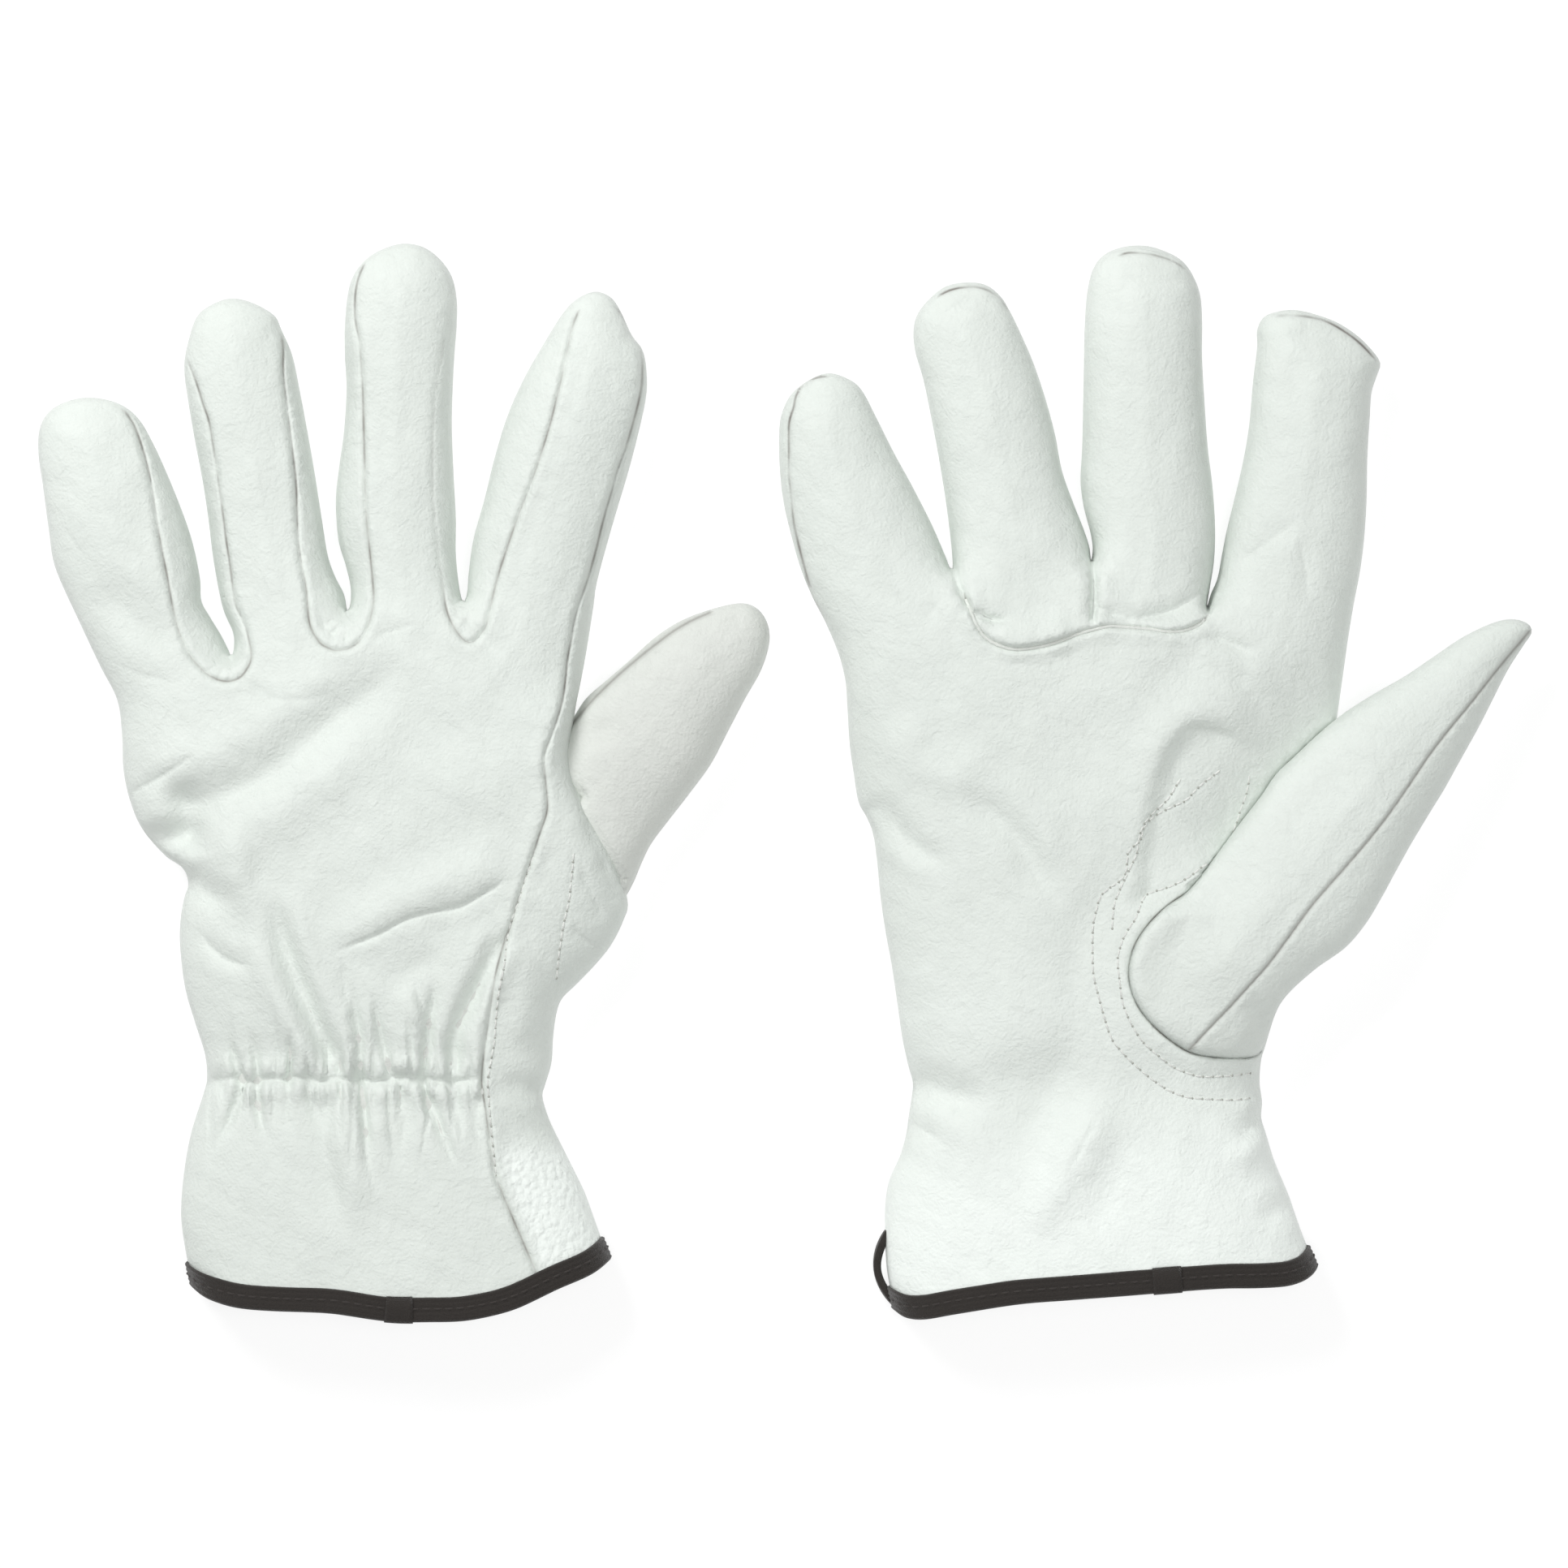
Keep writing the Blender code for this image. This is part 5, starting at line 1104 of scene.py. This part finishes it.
class Thumb:
    """A thumb laid beside or over its hand: a closed outline with its own middle height and thickness."""

    def __init__(self, name, outline, size, zc, amp, seams, folds, under):
        self.name = name
        self.loop = spline(G(outline), 1.0, closed=True)
        self.pillow = Pillow(self.loop, np.vstack([self.loop, self.loop[:1]]), size)
        self.zc, self.amp, self.folds, self.under = zc, amp, folds, under
        self.seams = [spline(G(s), 0.9) for s in seams]

    def top(self, P):
        s, d = self.pillow(P)
        z = self.zc(P) + s * self.amp(P)
        f = np.zeros(len(P))
        for fold in self.folds:
            f += fold(P)
        z += f * smooth(s / 5)
        for k, line in enumerate(self.seams):
            z += seam_height(P, line, depth=0.45, half=0.4, lip=0.22, phase=k) * smooth(s / 2.5)
        x, y = P[:, 0], P[:, 1]
        z += smooth(s / 5) * 0.2 * np.sin(x * 0.23 + 1.1 * np.sin(y * 0.15)) * np.sin(y * 0.19)
        return z if self.under is None else self.under(P, z)

    def bottom(self, P):
        s, d = self.pillow(P)
        zb = self.zc(P) - s * self.amp(P) * 0.9
        return 0.3 + np.logaddexp(0, (zb - 0.3) / 0.9) * 0.9

    def build(self, material):
        v2, faces, nb = triangulate(self.loop, self.seams, (), spacing=1.6)
        b2, bf, nb2 = triangulate(self.loop, (), (), spacing=3.2, rings=(0.3, 1.2, 2.8))
        zt, zb = self.top(v2), self.bottom(b2)
        rim = self.zc(v2[:nb])
        if self.under is not None:
            rim = np.minimum(rim, zt[:nb])
        zt[:nb] = rim
        top = np.column_stack([v2, zt])
        zb = np.where(np.arange(len(b2)) < nb, 0, zb)
        if self.under is not None:
            inner = np.arange(len(b2)) >= nb
            zb[inner] = np.minimum(zb[inner], self.top(b2[inner]) - 1.0)
        bot = np.column_stack([b2, zb])
        shared = np.arange(len(b2)) < nb
        remap = np.where(shared, np.arange(len(b2)), np.cumsum(~shared) - 1 + len(v2))
        verts = np.vstack([top, bot[~shared]])
        allf = np.vstack([faces, remap[bf][:, ::-1]])
        normals = vertex_normals(verts, allf)
        # the seams' dark line on the thumb: partly the join, partly painted shade in the groove
        g = np.zeros(len(verts))
        for line in self.seams:
            d, _, s, total = near(verts[:, :2], line, 3.0)
            hit = d < 900
            g[hit] = np.maximum(g[hit], 0.7 * np.exp(-((d[hit] / 0.4) ** 2)))
        g[len(v2):] = 0
        self.verts, self.faces = verts, allf
        return part_mesh(self.name, verts, allf, normals, np.ones(len(allf), bool), material, {"groove": g, "coarse": np.zeros(len(verts)), "painted_light": np.zeros(len(verts))})


# ---------------------------------------------------------------- the left glove, palm down
left = LeftGlove(LEFT, LEFT_FOLDS)
left_thumb = Thumb(
    "left_thumb_stall", LEFT_THUMB, 9.0, lambda P: np.full(len(P), 8.0), lambda P: np.full(len(P), 0.95),
    [[(700, 898), (712, 884), (730, 863), (750, 843), (771, 824), (794, 805), (812, 791), (831, 777), (852, 765), (874, 755)]],
    [Fold("bowl", [(760, 1040), (800, 1000), (830, 960)], 7.0, 0.6, (0.4, 0.4)), Fold("ridge", [(800, 860), (850, 830), (900, 810)], 9.0, 0.5, (0.4, 0.4)),
     Fold("crease", [(905, 746), (908, 770), (900, 800)], 1.6, 0.35, (0.1, 0.6)), Fold("valley", [(712, 905), (740, 900), (770, 880)], 3.0, 0.6, (0.2, 0.5))],
    lambda P, z: np.where(inside(P, left.loop), np.minimum(z, np.maximum(left.top(P) - 0.9, 1.2)), z))

# ---------------------------------------------------------------- the right glove, palm up
right = RightGlove(RIGHT, RIGHT_FOLDS)
BASE, TIP = G([(1490, 1180)])[0], G([(1884, 780)])[0]


BASE_SEAM = spline(G(RIGHT["seams"][6]), 0.9)


def at_base(P, reach=8.0):
    """1 on the seam round the thumb's base, falling to 0 away from it."""
    d = np.minimum(near(P, BASE_SEAM, 60.0)[0], 60.0)
    return np.exp(-((d / reach) ** 2))


def thumb_middle(P):
    t = np.clip(((P - BASE) @ (TIP - BASE)) / np.sum((TIP - BASE) ** 2), 0, 1)
    w = at_base(P)
    free = 17.4 - 4.8 * t
    if w.max() > 1e-3:
        keep, right.extra_top = right.extra_top, None
        hand_top = right.top(P)
        right.extra_top = keep
        # only where the seam lies on the hand
        hand_top = np.maximum(hand_top, 9.0)
        free = free * (1 - w) + (hand_top - 0.25) * w
    return free


right_thumb = Thumb(
    "right_thumb_stall", RIGHT_THUMB, 8.6, thumb_middle, lambda P: 0.92 - 0.42 * at_base(P, 12.0),
    [[(1462, 1292), (1485, 1267), (1509, 1242), (1535, 1213), (1560, 1185), (1586, 1150), (1611, 1116), (1636, 1087), (1661, 1059), (1688, 1027), (1712, 996), (1735, 963), (1756, 932), (1781, 900), (1807, 869), (1845, 822), (1883, 778)]],
    [Fold("crease", [(1470, 1120), (1450, 1150), (1440, 1185)], 2.0, 0.4, (0.3, 0.4)), Fold("bowl", [(1560, 1040), (1620, 980), (1680, 930)], 5.0, 0.5, (0.3, 0.3)),
     Fold("valley", [(1560, 1262), (1545, 1240), (1530, 1225)], 2.6, 0.6, (0.1, 0.5)), Fold("ridge", [(1480, 1200), (1530, 1140), (1580, 1080)], 6.0, 0.5, (0.3, 0.3))],
    None)


def under_thumb(P, z):
    """The palm lies beneath the thumb and rises to meet it at its base."""
    ins = inside(P, right_thumb.loop)
    d = np.minimum(near(P, right_thumb.loop, 40.0, closed=True)[0], 40.0)
    base = np.minimum(near(P, BASE_SEAM, 60.0)[0], 60.0)
    out = z.copy()
    if ins.any():
        s, dd = right_thumb.pillow(P[ins])
        zc = right_thumb.zc(P[ins])
        hb = zc - s * right_thumb.amp(P[ins]) * 0.9
        cap = np.minimum(np.minimum(z[ins], hb - 0.9), zc - 0.5 - 1.1 * smooth(base[ins] / 14.0))
        out[ins] = cap
    out_of = ~ins & (d < 32)
    if out_of.any():
        k = smooth((base[out_of] - 1.0) / 16.0)
        lim = right_thumb.zc(P[out_of]) - 1.6 + d[out_of] * 0.5
        zz = z[out_of]
        over = 1.4 * np.logaddexp(0, (zz - lim) / 1.4) * smooth((32 - d[out_of]) / 8.0)
        out[out_of] = zz - k * over
    return out


right.extra_top = under_thumb
left.build()
right.build()
left_thumb_skin = left_thumb.build(M_THUMB)
right_thumb_skin = right_thumb.build(M_SKIN)

tapes = {}
for glove in (left, right):
    glove.d["join"] = (475, 1615) if glove.side == "left" else (1420, 1585)
    tapes[glove.side] = glove.binding()
    tapes[glove.side] += (glove.stitch_rows(), glove.lining(G([(966, 1150)])[0][1]))


# the rolled welt in the seam at the right glove's finger bases
line = right.seams[1][2:-2]
path = np.column_stack([line, right.top(line) + 0.42])
tan = np.gradient(path, axis=0)
tan /= np.linalg.norm(tan, axis=1, keepdims=True)
side = np.cross(np.array([0, 0, 1.0])[None], tan)
side /= np.linalg.norm(side, axis=1, keepdims=True)
welt_roll = sweep("right_finger_welt", path, side, np.cross(tan, side), [(0.42 * math.cos(a), 0.36 * math.sin(a)) for a in np.linspace(0, 2 * math.pi, 9)[:-1]], M_THUMB, closed=False)

# at the right cuff's outer corner the bound edge stands off the skin in a narrow loop
path = right.loop[:19]
out2 = -normals_2d(path) if np.cross(path[1] - path[0], np.array([1.0, 0.0])) < 0 else normals_2d(path)
if np.mean(out2[:, 0]) > 0:
    out2 = -out2
u = np.linspace(0, 1, len(path))
bulge = 3.3 * np.sin(np.pi * u) ** 0.8 - 1.2
path = np.column_stack([path + out2 * bulge[:, None], 6.6 + 0.8 * np.cos(2 * np.pi * u)])
tan = np.gradient(path, axis=0)
tan /= np.linalg.norm(tan, axis=1, keepdims=True)
flat = np.column_stack([out2, np.zeros(len(path))])
flat -= tan * np.einsum("ij,ij->i", flat, tan)[:, None]
flat /= np.linalg.norm(flat, axis=1, keepdims=True)
loop_tape = sweep("right_hem_loop", path, flat, np.cross(tan, flat), [(0.85, -2.0), (1.05, -1.0), (0.95, 0), (1.05, 1.0), (0.85, 2.0), (-0.8, 1.8), (-0.8, -1.8)], M_TAPE, closed=False)

# the elastic, a flat band gathered inside the back of the wrist, with its zigzag row
def elastic(glove, ends, facing):
    line = spline(G(ends), 1.2)
    z = glove.top(line) - 2.5 if facing == "top" else glove.bottom(line) + 2.0
    path = np.column_stack([line, z])
    tan = np.gradient(path, axis=0)
    tan /= np.linalg.norm(tan, axis=1, keepdims=True)
    ups = np.array([0, 1.0, 0])[None] - tan * tan[:, 1:2]
    ups /= np.linalg.norm(ups, axis=1, keepdims=True)
    outs = np.cross(ups, tan)
    outs *= np.sign(outs[:, 2:3]) * (1 if facing == "top" else -1)
    band = sweep(f"{glove.side}_wrist_elastic", path, outs, ups, [(0.3, -3.5), (0.3, 3.5), (-0.4, 3.5), (-0.4, -3.5)], M_ELASTIC, closed=False)
    k = len(path)
    zig = np.array([path[i] - outs[i] * 0.48 + ups[i] * (1.6 if i % 2 else -1.6) for i in range(2, k - 2)])
    C, D, U = (zig[1:] + zig[:-1]) / 2, zig[1:] - zig[:-1], outs[3:k - 2]
    zz = capsules(f"{glove.side}_elastic_thread", C, D, U, 3.2, 0.2, M_WHITE)
    return band, zz


bands = {"left": elastic(left, [(268, 1331), (360, 1331), (480, 1331), (590, 1329)], "top"),
         "right": elastic(right, [(1150, 1332), (1280, 1332), (1420, 1332), (1540, 1332)], "bottom")}

# ---------------------------------------------------------------- what each piece moves with and stands for
for glove in (left, right):
    s = glove.side
    hand = glove.pieces["hand"]
    tape, tape_st, lap, rows, lining = tapes[s]
    band, zz = bands[s]
    for o in (hand, tape, tape_st, lap, rows, lining, band, zz, glove.holes):
        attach(o, f"{s}_hand")
    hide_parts(f"{s}_palm_panel", f"{s}_back_panel", f"{s}_thumb_gusset", f"{s}_finger_welt")
    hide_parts(f"{s}_hem_binding")
    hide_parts(f"{s}_hem_thread")
    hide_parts(f"{s}_gusset_thread")
    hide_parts(f"{s}_wrist_elastic")
    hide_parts(f"{s}_elastic_thread")
    for name in ("little", "ring", "middle", "index"):
        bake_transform(glove.pieces[name])
        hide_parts(f"{s}_{name}_front", f"{s}_{name}_back")

for o, name in ((welt_roll, "goatskin"), (loop_tape, "hem_tape")):
    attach(o, "right_hand")

for o in (left.pieces["web"], left_thumb_skin):
    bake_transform(o)
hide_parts("left_thumb_front", "left_thumb_back")

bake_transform(right_thumb_skin)
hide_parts("right_thumb_front", "right_thumb_back")

# ---------------------------------------------------------------- the floor, the light and the camera
bpy.ops.mesh.primitive_plane_add(size=6, location=(0, 0, 0))
floor = bpy.context.object
floor.name = "floor"
mat, nt, bsdf, links = nodes_of("floor")
bsdf.inputs["Base Color"].default_value = (0.30, 0.30, 0.30, 1)
bsdf.inputs["Roughness"].default_value = 0.9
bsdf.inputs["Specular IOR Level"].default_value = 0.1
bsdf.inputs["Emission Color"].default_value = (1, 1, 1, 1)
bsdf.inputs["Emission Strength"].default_value = 0.77
floor.data.materials.append(mat)

scene = bpy.context.scene
world = bpy.data.worlds.new("studio")
world.use_nodes = True
world.node_tree.nodes["Background"].inputs["Color"].default_value = (1.0, 1.0, 1.0, 1)
world.node_tree.nodes["Background"].inputs["Strength"].default_value = 0.31
scene.world = world


def area_light(name, where, aim, size, power):
    data = bpy.data.lights.new(name, "AREA")
    data.shape, data.size, data.energy = "SQUARE", size, power
    obj = bpy.data.objects.new(name, data)
    scene.collection.objects.link(obj)
    obj.location = where
    obj.rotation_euler = (Vector(aim) - Vector(where)).to_track_quat("-Z", "Y").to_euler()
    return obj


area_light("key", (-0.68, 0.92, 0.95), (0, 0, 0), 0.6, 12.5)
area_light("fill", (0.22, -0.15, 1.75), (0, 0, 0), 0.7, 12.0)

cam = bpy.data.cameras.new("camera")
cam.type = "PERSP"
cam.sensor_width = 36.0
cam.lens = 196.2
cam.clip_start, cam.clip_end = 0.1, 10
camera = bpy.data.objects.new("camera", cam)
scene.collection.objects.link(camera)
camera.location = (0.000601, -0.001411, 2.012)
scene.camera = camera
scene.view_settings.view_transform = "Standard"
scene.view_settings.look = "None"
